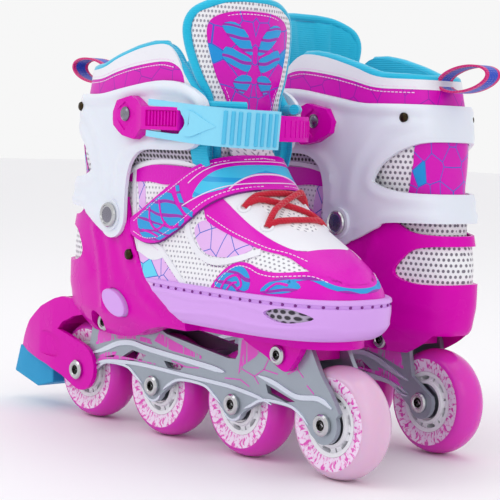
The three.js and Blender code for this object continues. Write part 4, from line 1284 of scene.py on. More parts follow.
# ---- toe shell, boot upper, strap and laces ----
def ribbon(points, width, closed=False, steps=4):
    """The outline of a band along a line."""
    line = eased(points, steps, closed)
    upper, lower = [], []
    for k, (x, z) in enumerate(line):
        a, b = Vector(line[max(k - 1, 0)]), Vector(line[min(k + 1, len(line) - 1)])
        side = (b - a).normalized().orthogonal() * width / 2
        upper.append((x + side.x, z + side.y))
        lower.append((x - side.x, z - side.y))
    return upper + lower[::-1]


def on_skin(levels, power, line, out, steps=4, sides=(-1, 1)):
    """A side-view line laid on each side of a boot surface."""
    flat = eased(line, steps, False)
    return [[skin_point(levels, power, x, z, out, side) for x, z in flat] for side in sides]


def rim_path(levels, power, height, out, start, count=90):
    """A line round the back of a boot surface whose height depends on how far forward it is."""
    made = []
    for k in range(count + 1):
        angle = start + (2 * math.pi - 2 * start) * k / count
        z = height(levels[-1]["mid"])
        for _ in range(8):
            level = level_at(levels, z)
            level = dict(
                level, back=level["back"] - out, front=level["front"] + out, half=level["half"] + out
            )
            point = section_point(level, angle, power)
            z = height(point.x)
        point.z = z
        made.append(point)
    return made


def along(points):
    """A height read off a line of [x, z] points."""
    ordered = sorted(points)

    def height(x):
        """The height at one place."""
        if x <= ordered[0][0]:
            return ordered[0][1]
        for (a, za), (b, zb) in zip(ordered, ordered[1:]):
            if x <= b:
                return za + (zb - za) * (x - a) / (b - a)
        return ordered[-1][1]

    return height


TOE_EYE = [(90, 92.8), (98, 95.8), (108, 96), (119, 92), (108, 88.6), (98, 88.8)]


def toe_shell():
    """The sliding toe shell with its rolled rim and side vent."""
    body = emboss(
        loft(fine(TOE, 0.6), TOE_POWER, 240),
        strokes=[
            (eased([(-30, 93), (0, 95.5), (30, 94), (62, 96), (88, 93.5)], 4, False), 2.0, -0.5),
            (eased([(-30, 86), (10, 84.5), (50, 87), (88, 85), (125, 87)], 4, False), 2.2, -0.6),
            (eased(TOE_EYE + TOE_EYE[:1], 4, False), 2.4, 0.5),
        ],
    )
    hollow = fine(TOE, 3, -2.5)
    hollow = [dict(hollow[0], z=81.1), *[
        level for level in hollow if level["z"] > 82
    ], dict(hollow[-1], z=130)]
    shell = carve(body, loft(hollow, TOE_POWER, 120))
    shell = carve(shell, wing_room())
    shell = carve(shell, block((-200, -200, 0), (-38, 200, 300)))
    return carve(shell, plate(eased(TOE_EYE, 4), -90, 90))


def toe_dots():
    """The row of stitch holes under the toe shell's rim, as dark dots of painted shade."""
    level = level_at(TOE, 98.3)
    dots = []
    last = None
    for k in range(900):
        angle = math.pi * (k / 899 - 0.5) * 1.75
        point = section_point(level, angle, TOE_POWER)
        if point.x < -12 or (last and (point - last).length < 7.6):
            continue
        if inside(Vector((point.x, 98.3)), eased(TOE_EYE, 4)):
            continue
        last = point
        dot = bmesh.new()
        bmesh.ops.create_uvsphere(dot, u_segments=12, v_segments=8, radius=0.95)
        dot.transform(Matrix.Translation(point))
        dots.append(dot)
    return together(*dots)


def upper_body():
    """The laced vamp."""
    body = loft(fine(UPPER, 1.8), TOE_POWER, 200)
    hollow = fine(UPPER, 3, -2.4)
    hollow = [dict(hollow[0], z=70), *hollow, dict(hollow[-1], z=220)]
    shell = carve(body, loft(hollow, TOE_POWER, 120))
    trim = eased([
        (-49.5, 84), (-49.5, 84), (150, 84), (150, 84), (150, 168), (30, 168.5), (0, 171), (-20, 170.5),
        (-40, 167), (-49.5, 160), (-49.5, 160),
    ], 3)
    shell = carve(shell, plate(trim, -90, 90), "INTERSECT")
    return carve(shell, wing_room(0.6, 30.6))


EYESTAY = [
    (14, 158), (26, 147), (31, 139), (49, 133), (68, 128), (77, 125.8), (92, 123.4), (103, 118.6),
    (112, 114.8), (127, 109), (130, 120), (104, 131), (97, 126.4), (85, 129), (67, 136), (52, 144),
    (38, 153), (26, 162),
]
TOE_CAP = [
    (41, 97), (44, 104), (52, 113), (62, 118), (71, 118), (80, 115.4), (90, 114.6), (100, 115.6),
    (110, 116.4), (119, 112.6), (127, 108), (140, 107), (140, 107), (140, 82), (140, 82), (38, 82),
    (38, 82),
]
STRAP = [
    (-44, 132), (-40, 127), (-32, 124), (-22, 122.6), (-10, 124), (4, 131), (25, 145), (39, 153),
    (50, 158), (64, 162), (66, 172), (54, 178), (40, 178.5), (24, 173), (5, 163), (-15, 151), (-30, 142),
    (-41, 136.5),
]


def upper_overlay(outline, low, high, steps=3):
    """A patch sewn on the vamp."""
    return overlay(UPPER, TOE_POWER, eased(outline, steps) if steps else outline, low, high)


class SKATES_OT_uppers(bpy.types.Operator):
    """Builds the toe shells and the sewn boot uppers with their overlays and prints"""

    bl_idname = "skates.uppers"
    bl_label = "Toe shells and uppers"

    def execute(self, context):
        thick = sizes().overlay / MM
        room = wing_room(0.6, 30.8)

        def lay(name, shape, finish, slot="boot_fabric", clip=True):
            put(name, carve(shape, room) if clip else shape, "toe", finish)

        put("toe_shell", toe_shell(), "toe", "toe", ["toe_shell"], sharp=32)
        put("toe_dots", toe_dots(), "toe", "dark_thread_and_hole_shade")
        eye = [(86, 93), (98, 97.4), (110, 97.6), (123, 92), (108, 86.8), (98, 87)]
        put("toe_vent_mesh", overlay(TOE, TOE_POWER, eye, -2.2, -1.5), "toe", "mesh_grey")

        put("upper", upper_body(), "toe", "mesh", ["upper"], sharp=32)
        lay("upper_side_print", together(
            upper_overlay([
                (20, 134), (30, 139.4), (49, 134), (70, 128), (60, 121), (39, 119.6), (27, 124),
            ], -0.4, 0.35),
            upper_overlay([
                (-49.5, 128), (-30, 121), (-8, 116), (4, 108), (22, 96), (22, 84), (-49.5, 84),
            ], -0.4, 0.35),
            upper_overlay(ribbon([(-36, 162), (-33, 148), (-32, 130)], 7), -0.4, 0.35, 0),
        ), "lilac_print")
        lay("upper_leather", together(
            upper_overlay([
                (-49.5, 140), (-30, 128), (-8, 121), (-4, 116), (-16, 112.6), (-30, 116), (-49.5, 122),
            ], -0.4, thick),
            upper_overlay(ribbon([
                (12, 141), (15, 132), (23, 123.4), (32, 118.4), (44, 116.6), (62, 120), (76, 125),
            ], 3.6), -0.4, thick + 0.3, 0),
            upper_overlay(ribbon([(-10, 120), (6, 109.5), (24, 97), (34, 88)], 3.4), -0.4, thick + 0.3, 0),
            upper_overlay(ribbon([
                (-42, 166), (-41, 148), (-38, 128), (-34, 116),
            ], 3.6), -0.4, thick + 0.3, 0),
            upper_overlay([
                (26, 162), (38, 153), (52, 144), (67, 136), (85, 129), (97, 126.6), (112, 131), (70, 160),
                (50, 172),
            ], -0.4, 0.4),
        ), "leather")
        put("upper_rim", together(*(
            bead(line, 2.5)
            for line in on_skin(UPPER, TOE_POWER, [
                (-49.5, 163), (-38, 168), (-20, 171.4), (0, 172), (22, 170),
            ], -1.0)
        )), "toe", "leather")
        lay("upper_magenta", together(
            upper_overlay(EYESTAY, -0.4, thick), upper_overlay(TOE_CAP, -0.4, thick),
            upper_overlay([
                (-49.5, 163), (-36, 168), (-18, 169.4), (2, 169.4), (16, 168), (8, 163), (-8, 158),
                (-26, 159), (-49.5, 158),
            ], -0.4, thick),
        ), "leather_magenta")
        lay("upper_lacing_mesh", overlay(UPPER, TOE_POWER, [
            (20, -17), (66, -15), (80, -8), (82, 0), (80, 8), (66, 15), (20, 17),
        ], -0.4, 0.6, axis="z"), "mesh")
        lay("toe_print", together(
            upper_overlay([
                (47, 103), (51, 110), (61, 115.6), (69, 115.2), (75, 109), (72, 102.6),
            ], -0.4, thick + 0.2),
            upper_overlay([(84, 103.6), (90, 110), (99, 112.6), (108, 108), (99, 104)], -0.4, thick + 0.2),
            upper_overlay(ribbon([
                (100, 110.4), (110, 113), (120, 109), (127, 106),
            ], 1.8), -0.4, thick + 0.2, 0),
        ), "blue_print")
        lay("toe_scroll", together(
            upper_overlay(ribbon([
                (52, 101.8), (56, 108), (64, 111), (69, 106), (65, 103),
            ], 1.5), -0.4, thick + 0.45, 0),
            upper_overlay(ribbon([(57, 102), (61, 106), (65, 107)], 1.2), -0.4, thick + 0.45, 0),
            upper_overlay(ribbon([(88, 104.4), (94, 109), (101, 108.6)], 1.3), -0.4, thick + 0.45, 0),
        ), "leather_magenta")
        out = thick + 0.1
        seams = []
        for line in (
            [(30, 142.6), (49, 135.4), (68, 130), (80, 127), (92, 125), (104, 121)],
            [
                (46, 102), (53.4, 110.8), (62.4, 115.8), (71, 115.8), (80, 113.2), (90, 112.4),
                (100, 113.4), (110, 114), (118, 111),
            ],
            [(-40, 130), (-28, 124.4), (-12, 119)], [(-41, 162), (-40, 148), (-37.4, 130)],
        ):
            seams += [seam(side) for side in on_skin(UPPER, TOE_POWER, line, out)]
        put("upper_seams", together(*seams), "toe", "thread")
        # Dark dots along the overlays: painted shade in the seam holes.
        holes = [
            seam(side, 3.3, 0.5, 0.42)
            for line in ([
                (17, 127), (27, 118.6), (36, 115.2), (46, 114), (62, 117.4), (72, 121.4),
            ], [(-4, 113), (12, 102.6), (24, 94)])
            for side in on_skin(UPPER, TOE_POWER, line, 0.1)
        ]
        put("upper_seam_holes", together(*holes), "toe", "dark_thread_and_hole_shade")
        return {"FINISHED"}


class SKATES_OT_straps(bpy.types.Operator):
    """Builds the instep straps, the laces and their eyelets"""

    bl_idname = "skates.straps"
    bl_label = "Instep straps and laces"

    def execute(self, context):
        room = wing_room(0.6, 30.8)

        def lay(name, shape, finish, replaces=()):
            put(name, carve(shape, room), "toe", finish, replaces)

        lay("instep_strap", upper_overlay(STRAP, 0.7, 2.9), "leather_magenta", ["instep_strap"])
        lay("strap_blue", together(
            upper_overlay([
                (-31, 139), (-5, 154), (4, 147), (13, 137.4), (-6, 126), (-14, 124.6), (-26, 126),
                (-32, 132),
            ], 2.5, 3.15),
            upper_overlay(ribbon([(4, 158.6), (7, 152), (13, 145), (20, 142)], 3.2), 2.5, 3.15, 0),
        ), "blue_print")
        lay("strap_scroll", together(
            upper_overlay(ribbon([(-21, 144), (-20, 136), (-12, 131), (-4, 136)], 1.5), 2.5, 3.35, 0),
            upper_overlay(ribbon([(-12, 149), (-8, 138), (2, 133), (8, 136)], 1.5), 2.5, 3.35, 0),
            upper_overlay(ribbon([(-27, 130), (-18, 129), (-10, 127)], 1.2), 2.5, 3.35, 0),
        ), "leather_magenta")
        lay("strap_sky", upper_overlay([
            (19, 152), (23, 160), (31, 168), (40, 172), (43, 171), (42, 160), (30, 155),
        ], 2.5, 3.15), "sky_print")
        lay("strap_lines", together(
            upper_overlay(ribbon([
                (10, 146.6), (24, 153), (40, 159.6), (52, 162.6), (62, 164.6),
            ], 0.6), 2.5, 3.2, 0),
            upper_overlay(ribbon([(42, 158), (44, 166), (44.5, 173)], 0.6), 2.5, 3.2, 0),
            upper_overlay(ribbon([(14, 160), (28, 170), (42, 174.6), (56, 174.6)], 0.5), 2.5, 3.2, 0),
        ), "thread")
        edges = [
            bead(side, 0.75) for side in on_skin(UPPER, TOE_POWER, STRAP[2:9], 1.2)
        ]
        put("strap_edge", together(*edges), "toe", "dark_thread_and_hole_shade")
        stitches = [
            seam(side) for line in (
                [(-37, 128.4), (-24, 125.4), (-10, 127), (3, 133.6), (24, 147.4), (38, 155.2), (50, 160)],
                [(-38, 134.4), (-29, 139.6), (-14, 148.6), (6, 160.6), (24, 170.6), (40, 175.8)],
            ) for side in on_skin(UPPER, TOE_POWER, line, 3.0)
        ]
        put("strap_seams", together(*stitches), "toe", "thread")

        def top(x, y, out):
            """A point of the upper seen from above."""
            low, high = 84.0, 179.0
            for _ in range(30):
                z = (low + high) / 2
                level = level_at(UPPER, z)
                reach = level[
                    "front"
                ] + out - level["mid"] if x > level["mid"] else level["mid"] - level["back"] + out
                within = (abs(x - level["mid"]) / reach) ** TOE_POWER + (
                    abs(y) / (level["half"] + out)
                ) ** TOE_POWER <= 1
                low, high = (z, high) if within else (low, z)
            return Vector((x, y, low))

        r = sizes().lace / MM
        cords, rings = [], []
        spots = [(52, 24), (70, 22)]
        for x, y in spots:
            for s in (-1, 1):
                here = top(x, s * y, 0.6)
                slope = (top(x + 1, s * y, 0.6) - here).cross(top(x, s * y + 1, 0.6) - here).normalized()
                ring = turned([
                    (2.9 + 1.0 * math.cos(a), 0.8 * math.sin(a))
                    for a in (k * math.pi / 4 for k in range(8))
                ], 0, 0, 28)
                ring.transform(
                    Matrix.Translation(here) @ Vector(
                        (0, 1, 0)
                    ).rotation_difference(slope).to_matrix().to_4x4()
                )
                rings.append(ring)
        for pairs in (
            [(52, -24), (58, -10), (64, 6), (70, 22)], [(52, 24), (58, 10), (64, -6), (70, -22)],
            [(52, -24), (54, -10), (54, 10), (52, 24)], [(70, -22), (73, -9), (73, 9), (70, 22)],
        ):
            line = eased(pairs, 10, False)
            count = len(line) - 1
            lift = 0.9 if pairs[0] == (52, 24) else 0.0
            cords.append(bead([
                top(x, y, 0.4 + (r + 0.6 + (2.2 * r * lift)) * min(1, 5 * k / count, 5 * (count - k) / count))
                for k, (x, y) in enumerate(line)
            ], r))
        put("laces", together(*cords), "toe", "lace", ["laces"])
        put("eyelets", together(*rings), "toe", "leather")
        return {"FINISHED"}


# ---- liner and tongue ----
LINER_TOP = [
    (-170, 226), (-104, 226), (-80, 227.4), (-62, 233), (-40, 238.5), (-22, 241), (-12, 240), (-3, 234),
    (6, 223), (16, 213), (23, 205),
]
TONGUE = levels_of([(146, -112, -44, 24, 68), (274, -112, -44, 24, 68)])
TONGUE_HALF = [
    (150, 20), (190, 22), (205, 26), (212, 27.5), (223, 33), (238, 38), (250, 39.6), (258, 37), (263, 31),
    (266.4, 22), (267.8, 10),
]


def front_cut(levels, outline, low, high):
    """A patch of an upright surface cut from its front view."""
    tool = plate([(-a, b) for a, b in outline], -90, 90)
    tool.transform(Matrix.Rotation(math.pi / 2, 4, "Z"))
    return carve(carve(skin(levels, 2, low, high), tool, "INTERSECT"), block((-300, -300, 0), (0, 300, 400)))


def tongue_outline(inset, bottom=150):
    """The outline of the tongue in its front view."""
    half = [(max(w - inset, 2), z - (inset if z > 262 else 0)) for z, w in TONGUE_HALF if z >= bottom]
    right = eased([(-w, z) for w, z in half], 4, False)
    left = eased([(w, z) for w, z in reversed(half)], 4, False)
    return right + left


def swollen(bm, held, cap=4.0, voxel=2.5):
    """Swells a pad by cloth simulation; the points for which held is true stay where they are."""
    start = bm.copy()
    start.transform(Matrix.Scale(MM, 4))
    mesh = bpy.data.meshes.new("pad_start")
    start.to_mesh(mesh)
    pad = bpy.data.objects.new("pad_start", mesh)
    scene = bpy.context.scene
    scene.collection.objects.link(pad)
    remesh = pad.modifiers.new("even", "REMESH")
    remesh.mode = "VOXEL"
    remesh.voxel_size = voxel * MM
    even = bpy.data.meshes.new_from_object(pad.evaluated_get(bpy.context.evaluated_depsgraph_get()))
    pad.modifiers.clear()
    pad.data = even
    group = pad.vertex_groups.new(name="held")
    group.add([v.index for v in even.vertices if held(v.co / MM)], 1.0, "REPLACE")
    cloth = pad.modifiers.new("cloth", "CLOTH")
    cloth.settings.quality = 6
    cloth.settings.mass = 0.2
    cloth.settings.vertex_group_mass = "held"
    cloth.settings.use_pressure = True
    cloth.settings.uniform_pressure_force = 4.0
    cloth.settings.effector_weights.gravity = 0.0
    cloth.point_cache.frame_start = 1
    cloth.point_cache.frame_end = 20
    for step in range(1, 21):
        scene.frame_set(step)
    soft = pad.evaluated_get(bpy.context.evaluated_depsgraph_get()).to_mesh()
    moves = [now.co - was.co for now, was in zip(soft.vertices, even.vertices)]
    done = bmesh.new()
    done.from_mesh(even)
    done.verts.ensure_lookup_table()
    for v, move in zip(done.verts, moves):
        length = move.length / MM
        if length > 1e-6:
            v.co += move * min(1.0, cap * math.tanh(length / cap) / length)
    done.transform(Matrix.Scale(1 / MM, 4))
    scene.frame_set(1)
    bpy.data.objects.remove(pad)
    return done


def crowned(bm, low, high, rise):
    """Rounds a lining inwards between two heights, so that the collar reads as padded."""
    for v in bm.verts:
        t = (v.co.z - low) / (high(v.co.x) - low)
        if 0 < t < 1:
            fade = min(1.0, max(0.0, (2 - v.co.x) / 26))
            inwards = Vector((-55 - v.co.x, -v.co.y * 2.2, 0)).normalized()
            v.co += inwards * rise * math.sin(math.pi * t) ** 0.7 * fade * fade * (3 - 2 * fade)
    return bm


class SKATES_OT_liners(bpy.types.Operator):
    """Builds the padded liners with their collars, window panels and pull loops"""

    bl_idname = "skates.liners"
    bl_label = "Liners"

    def execute(self, context):
        bend = (118, 152)
        top = eased(LINER_TOP, 4, False)
        body_line = top + eased([
            (23, 205), (24, 190), (24, 178), (22, 160), (10, 140), (-10, 125), (-40, 108), (-60, 104),
            (-170, 104),
        ], 4, False)
        core = overlay(LINER, CUFF_POWER, body_line, -4.6, 0)
        put("liner", core, "cuff", "lining", ["liner"], bend=bend)
        inner = overlay(LINER, CUFF_POWER, [(x, z + 0.6) for x, z in body_line], -5.4, -4.4)
        inner = crowned(inner, 186, along(LINER_TOP), 3.6)
        put("liner_lining", inner, "cuff", "lining", bend=bend)
        height = along(LINER_TOP)
        rim = rim_path(LINER, CUFF_POWER, height, -2.3, 0.42)
        put("liner_binding", bead(rim, 3.1), "cuff", "binding")
        edge = [
            (-170, 220), (-104, 220), (-80, 220.6), (-62, 224.4), (-42, 228), (-17, 230.6), (-3, 229),
            (6, 222), (10, 204),
        ]
        white = eased([(x + 0.8, z) for x, z in LINER_TOP], 4, False) + eased(edge[::-1], 4, False)
        put("collar_leather", overlay(
            LINER, CUFF_POWER, white, -0.4, 0.9
        ), "cuff", "leather")
        print_line = eased(edge, 4, False) + [(0, 203), (-60, 205), (-170, 200)]
        put("collar_print", overlay(
            LINER, CUFF_POWER, print_line, -0.4, 0.7
        ), "cuff", "collar")
        lines = [[(x, z - 2.0) for x, z in edge[1:7]], [(x, z + 1.6) for x, z in edge[1:7]]]
        stitches = [seam(side) for line in lines for side in on_skin(LINER, CUFF_POWER, line, 0.9)]
        put("collar_seams", together(*stitches), "cuff", "thread")
        strip = [(-50, 148), (-50, 184), (14, 184), (14, 162), (-28, 160), (-34, 148)]
        put("ankle_mesh", overlay(
            LINER, CUFF_POWER, strip, -0.4, 0.6
        ), "cuff", "mesh_grey")
        put("ankle_edge", overlay(LINER, CUFF_POWER, [
            (14, 166), (14, 190), (28, 190), (28, 171),
        ], -0.4, 0.4), "cuff", "lining")
        pane = [(-72, 124), (-78, 152), (-78, 196), (-170, 196), (-170, 124)]
        put("window_mesh", overlay(
            LINER, CUFF_POWER, pane, -0.4, 0.5
        ), "cuff", "mesh_side")
        patch = [(-101, 152), (-107, 176), (-108, 196), (-170, 196), (-170, 152)]
        put("window_patch", overlay(LINER, CUFF_POWER, patch, -0.4, 1.1), "cuff", "patch")

        turn, line = -0.15, []
        for k in range(64):
            a = 2 * math.pi * k / 64
            line.append((-127 + 19.8 * math.cos(a) * math.cos(turn) - 7.3 * math.sin(a) * math.sin(turn),
                         227 + 19.8 * math.cos(a) * math.sin(turn) + 7.3 * math.sin(a) * math.cos(turn)))
        ring, hole = [], []
        for (ax, az), (bx, bz) in zip(line, line[1:] + line[:1]):
            side = Vector((bx - ax, bz - az)).normalized().orthogonal() * 0.65
            ring.append((ax + side.x, az + side.y))
            hole.append((ax - side.x, az - side.y))
        outer, eye = (ring, hole) if max(x for x, z in ring) > max(x for x, z in hole) else (hole, ring)
        loop = carve(plate(outer, -6, 6), plate(eye, -9, 9))
        loop = carve(loop, block((-108, -20, 180), (-60, 20, 260)))
        put("pull_loop", loop, "cuff", "webbing", bevel=0.3)
        return {"FINISHED"}


class SKATES_OT_tongues(bpy.types.Operator):
    """Builds the padded tongues with their bindings and printed panels"""

    bl_idname = "skates.tongues"
    bl_label = "Tongues"

    def execute(self, context):
        bend = (150, 188)
        pad = swollen(front_cut(
            TONGUE, tongue_outline(0.8), -1.0, 3.4
        ), lambda p: math.hypot(p.x + 44, p.y) > 69.6)
        put("tongue", pad, "cuff", "lining", ["tongue"], bend=bend)
        mesh = front_cut(TONGUE, tongue_outline(1.6), 3.2, 4.4)
        put("tongue_mesh", mesh, "cuff", "mesh_front", bend=bend)
        half = [
            (14, 196), (17, 205), (19.5, 212), (25, 223), (29.5, 238), (31, 248), (29.5, 254), (24, 258),
            (14, 260.4), (0, 261),
        ]
        border = eased([(-a, b) for a, b in half] + [(a, b) for a, b in half[-2::-1]], 4, False)
        panel = front_cut(TONGUE, border, 4.2, 5.2)
        put("tongue_panel", panel, "cuff", "patch")

        def around(line, out):
            return [
                Vector((-44 + (68 + out) * math.cos(math.asin(max(-0.99, min(0.99, y / 70)))), y, z))
                for y, z in line
            ]

        put("tongue_binding", bead(
            around(tongue_outline(0.4), 1.4), 2.7
        ), "cuff", "binding")
        wings = []
        for s in (-1, 1):
            wings += [
                [(s * 2, 236), (s * 6, 247), (s * 15, 254), (s * 23, 252), (s * 17, 244), (s * 9, 238)],
                [(s * 3, 233), (s * 12, 237), (s * 20, 240), (s * 22, 233), (s * 13, 228), (s * 5, 226)],
                [(s * 2, 222), (s * 9, 224), (s * 15, 219), (s * 8, 213)],
            ]
        shapes = together(*(front_cut(TONGUE, eased(w, 3), 4.8, 5.5) for w in wings))
        put("tongue_shapes", shapes, "cuff", "blue_print")
        thread = [(y * 0.93, 228 + (z - 228) * 0.95) for y, z in border]
        stitches = [seam(around(thread, 5.2)), seam(around(tongue_outline(6.0, 190), 4.4))]
        put("tongue_seams", together(*stitches), "cuff", "thread")
        return {"FINISHED"}


# ---- buckle, ladder strap and brake ----
LEVER_PATH = [
    (-13, -43.7), (4, -43.9), (20, -44.1), (35, -42.2), (44, -37.2), (50.6, -28.6), (54.5, -20), (57, -5),
]
LADDER_PATH = [
    (-14, 39.3), (4, 39.3), (24, 39.3), (37, 36), (46, 26), (51, 10), (51, -10), (46, -26), (37, -36),
    (24, -39.5), (-6, -39.5),
]


def lever():
    """The cam lever, bent round the front of the boot."""
    band = plate(ribbon(LEVER_PATH, 4.0), -11, 11, "z")
    swell = plate(ribbon(LEVER_PATH[3:], 4.6), -11, 11, "z")
    band = carve(band, swell, "UNION")
    window = plate(eased([
        (-40, -7.2), (-40, -7.2), (12, -7.2), (19, -5), (22.6, 0), (19, 5), (12, 7.2), (-40, 7.2),
        (-40, 7.2),
    ], 3), -90, 0)
    band = carve(band, window)
    spear = plate(eased([
        (23, 6.4), (30, 6.8), (44, 0), (44, 0), (30, -6.8), (23, -6.4), (27, 0),
    ], 4), -60, -30)
    layer = plate(ribbon([(x, y - 2.5) for x, y in LEVER_PATH[2:5]], 1.2), -11, 11, "z")
    return together(band, carve(layer, spear, "INTERSECT"))


def lever_ribs():
    """The finger ribs near the lever's tip."""
    line = eased(LEVER_PATH, 8, False)
    ribs, gone, last = [], 0.0, None
    for k in range(1, len(line)):
        a, b = Vector(line[k - 1]), Vector(line[k])
        if b.x < 45:
            continue
        if last is not None and (b - last).length < 3.6:
            continue
        last = b
        side = (b - a).normalized().orthogonal()
        side = side if side.dot(Vector((1, -1))) > 0 else -side
        bar = bmesh.new()
        bmesh.ops.create_cone(bar, cap_ends=True, segments=16, radius1=1.25, radius2=1.25, depth=19)
        spot = b + side * 2.2
        bar.transform(Matrix.Translation((spot.x, spot.y, 0)))
        ribs.append(bar)
    return together(*ribs)


def lean_lever(bm):
    """Tips a shape to the lever's slant."""
    bm.transform(
        Matrix.Translation((-10, 0, 197)) @ Matrix.Rotation(0.07, 4, "Y") @ Matrix.Translation((10, 0, 0))
    )
    return bm


class SKATES_OT_buckles(bpy.types.Operator):
    """Builds the buckle bases, levers and ladder straps"""

    bl_idname = "skates.buckles"
    bl_label = "Buckles"

    def execute(self, context):
        plan = [
            (-54, -37.6), (-53, -41.2), (-44, -43.2), (-26, -44.2), (-18, -46.2), (16, -46.2), (17, -44.7),
            (17, -41.5), (-12, -41), (-16, -37.6),
        ]
        side = [
            (-54, 199), (-48, 207), (-32, 210), (-27, 208), (-19, 203.8), (18, 203.8), (18, 190.2),
            (-19, 190.2), (-28, 184), (-40, 186), (-52, 192),
        ]
        base = carve(plate(plan, 170, 220, "z"), plate(side, -60, -30), "INTERSECT")
        dish = plate([(-50, 199), (-38, 206.4), (-27, 199), (-38, 189)], -50, -42.6)
        base = carve(base, dish)
        base = carve(base, plate([(-14, 201.6), (15, 201.6), (15, 192.4), (-14, 192.4)], -50, -44.8))
        put("buckle_base", base, "cuff", "shell", ["buckle_base"], bevel=0.9)
        grooves = [
            plate([(x, 192.8), (x + 1.3, 192.8), (x + 1.3, 201.2), (x, 201.2)], -45.7, -44.6)
            for x in range(-12, 14, 3)
        ]
        put("buckle_grooves", together(*grooves), "cuff", "shell", bevel=0.25)
        put("buckle_rivet", rivet_dome(-38, 199, -42.6, -1, 4.4, 1.6), "cuff", "cap")
        put("buckle_lever", lean_lever(lever()), "lever", "lever", ["buckle_lever"], bevel=0.8)
        # The finger ribs take the deeper blue: painted shade on the same nylon.
        put("lever_ribs", lean_lever(lever_ribs()), "lever", "lever_rib", bevel=0.3)
        strap = plate(ribbon(LADDER_PATH, 2.2), 186, 201, "z")
        line = eased(LADDER_PATH, 4, False)
        teeth = []
        for k in range(6, len(line) - 1):
            a, b = Vector(line[k - 1]), Vector(line[k])
            way = (b - a).normalized()
            side = way.orthogonal() * 1.5
            if side.dot(b - Vector((-10, 0))) < 0:
                side = -side
            p, q = b - way * 0.7, b + way * 0.7
            teeth.append(plate([(p.x, p.y), (q.x, q.y), (q.x + side.x, q.y + side.y), (
                p.x + side.x * 0.9, p.y + side.y * 0.9
            )], 188.5, 198.5, "z"))
        put(
            "ladder_strap", together(strap, *teeth), "cuff", "shell", ["ladder_strap"],
            bevel=0.3,
        )
        return {"FINISHED"}


class SKATES_OT_brakes(bpy.types.Operator):
    """Builds the heel brake of the right skate"""

    bl_idname = "skates.brakes"
    bl_label = "Heel brake"

    def execute(self, context):
        x0 = AXLES[0]
        profile = [(-4, 78), (12, 76), (12, 70), (-6, 66.5), (-19, 61), (-24, 56), (-14, 54), (4, 49.5)]
        profile += [(x, z) for x, z in lobe(3, 34, 15, 1.2, -1.9, 12)]
        profile += [
            (-18, 26), (-36, 30.5), (-52, 33), (-80, 38), (-77, 44), (-72, 50), (-64, 57.6), (-56, 63),
            (-46, 69), (-36, 73), (-28, 76), (-20, 78),
        ]
        arm = plate([(x0 + x, z) for x, z in profile], -18.3, 18.3)
        plan = [
            (40, -18.3), (-30, -18.3), (-48, -16.4), (-66, -13), (-80, -8), (-80, 8), (-66, 13),
            (-48, 16.4), (-30, 18.3), (40, 18.3),
        ]
        arm = carve(arm, plate([(x0 + x, y) for x, y in plan], 0, 100, "z"), "INTERSECT")
        arm = carve(arm, rod(35, x0, AXLE_Z, -15.3, 15.3, 72))
        arm = carve(arm, block((x0 - 22, -15.3, 20), (x0 + 60, 15.3, 90)))
        arm = carve(arm, rod(4.3, x0, AXLE_Z, -90, 90))
        dip = [
            (x0 + x, z)
            for x, z in ((-28, 52), (-20, 47), (-22, 38), (-40, 37), (-56, 41), (-52, 48), (-40, 53))
        ]
        for low, high in ((-30, -16.6), (16.6, 30)):
            arm = carve(arm, plate(eased(dip, 4), low, high))
        put("brake_bracket", arm, "skate", "shell", ["brake_bracket"], "r", bevel=0.9)
        outline = [(-36, 30.2), (-36, 18), (-54, 13), (-90, 18.5), (-82, 38), (-80, 37.7), (-52, 32.7)]
        pad = plate([(x0 + x, z) for x, z in outline], -12.5, 12.5)
        plan = [(0, -12.5), (-54, -12.5), (-92, -7), (-92, 7), (-54, 12.5), (0, 12.5)]
        pad = carve(pad, plate([(x0 + x, y) for x, y in plan], 0, 100, "z"), "INTERSECT")
        put("brake_pad", pad, "skate", "pad", ["brake_pad"], "r", bevel=1.0)
        return {"FINISHED"}


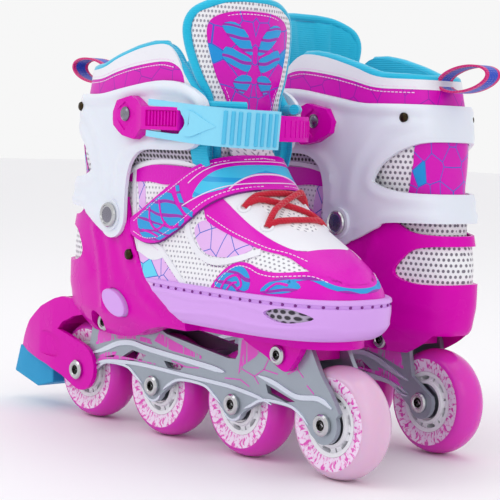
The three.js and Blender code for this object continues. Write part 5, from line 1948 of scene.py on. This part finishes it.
class SKATES_OT_stage(bpy.types.Operator):
    """Sets the floor, the soft lights and the camera"""

    bl_idname = "skates.stage"
    bl_label = "Stage"

    def execute(self, context):
        scene = context.scene
        bm = bmesh.new()
        bmesh.ops.create_grid(bm, x_segments=2, y_segments=2, size=6)
        mesh = bpy.data.meshes.new("floor")
        bm.to_mesh(mesh)
        floor = bpy.data.objects.new("floor", mesh)
        scene.collection.objects.link(floor)
        paper = surface("matt_paper_white", linear("F6F5F8"), 0.6, 0.5, 0.0, 0.01)[0]
        mesh.materials.append(paper)

        world = bpy.data.worlds.new("studio")
        world.use_nodes = True
        world.node_tree.nodes["Background"].inputs["Color"].default_value = ink("FFFFFF")
        world.node_tree.nodes["Background"].inputs["Strength"].default_value = 0.93
        scene.world = world
        for name, place, size, power in (
            ("key", (-0.35, -1.2, 1.25), 0.9, 4.0),
            ("fill", (1.35, -0.5, 0.8), 0.8, 1.5),
            ("top", (0.1, 0.2, 1.6), 1.1, 2.5),
        ):
            lamp = bpy.data.lights.new(name, "AREA")
            lamp.size = size
            lamp.energy = power
            holder = bpy.data.objects.new(name, lamp)
            holder.location = place
            holder.rotation_mode = "QUATERNION"
            holder.rotation_quaternion = (Vector((0, 0, 0.12)) - Vector(place)).to_track_quat("-Z", "Y")
            scene.collection.objects.link(holder)

        yaw, pitch, roll = (math.radians(a) for a in (-48.55, 4.29, 2.15))
        ahead = Vector((math.sin(yaw) * math.cos(pitch), math.cos(yaw) * math.cos(pitch), -math.sin(pitch)))
        right = Vector((math.cos(yaw), -math.sin(yaw), 0))
        up = right.cross(ahead)
        turn = Matrix((
            right * math.cos(roll) + up * math.sin(roll), up * math.cos(roll) - right * math.sin(roll),
            -ahead,
        ))
        lens = bpy.data.cameras.new("camera")
        lens.lens = 117.25
        lens.sensor_width = 36
        camera = bpy.data.objects.new("camera", lens)
        camera.rotation_mode = "QUATERNION"
        camera.rotation_quaternion = turn.transposed().to_quaternion()
        camera.location = (0.77785, -0.68773, 0.19342)
        scene.collection.objects.link(camera)
        scene.camera = camera
        scene.view_settings.view_transform = "Standard"
        return {"FINISHED"}


OPERATORS = (
    SKATES_OT_stage,
    SKATES_OT_shells,
    SKATES_OT_cuffs,
    SKATES_OT_frames,
    SKATES_OT_wheels,
    SKATES_OT_uppers,
    SKATES_OT_straps,
    SKATES_OT_liners,
    SKATES_OT_tongues,
    SKATES_OT_buckles,
    SKATES_OT_brakes,
)


class SKATES_PT_panel(bpy.types.Panel):
    bl_idname = "SKATES_PT_panel"
    bl_label = "Inline skates"
    bl_space_type = "VIEW_3D"
    bl_region_type = "UI"
    bl_category = "Skates"

    def draw(self, context):
        for group in (context.scene.skate_sizes, context.scene.skate_colours):
            for name in group.bl_rna.properties.keys():
                if name not in ("rna_type", "name"):
                    self.layout.prop(group, name)
        for operator in OPERATORS:
            self.layout.operator(operator.bl_idname)


CLASSES = (SKATES_PG_sizes, SKATES_PG_colours, *OPERATORS, SKATES_PT_panel)


def register():
    """Makes the settings, the steps and the panel known to Blender."""
    for each in CLASSES:
        bpy.utils.register_class(each)
    bpy.types.Scene.skate_sizes = PointerProperty(type=SKATES_PG_sizes)
    bpy.types.Scene.skate_colours = PointerProperty(type=SKATES_PG_colours)


def unregister():
    """Takes them away again."""
    del bpy.types.Scene.skate_colours
    del bpy.types.Scene.skate_sizes
    for each in reversed(CLASSES):
        bpy.utils.unregister_class(each)


def main():
    """Builds every piece."""
    register()
    MATERIALS.update(make_materials())
    for operator in OPERATORS:
        group, name = operator.bl_idname.split(".")
        getattr(getattr(bpy.ops, group), name)()


if __name__ == "__main__":
    main()
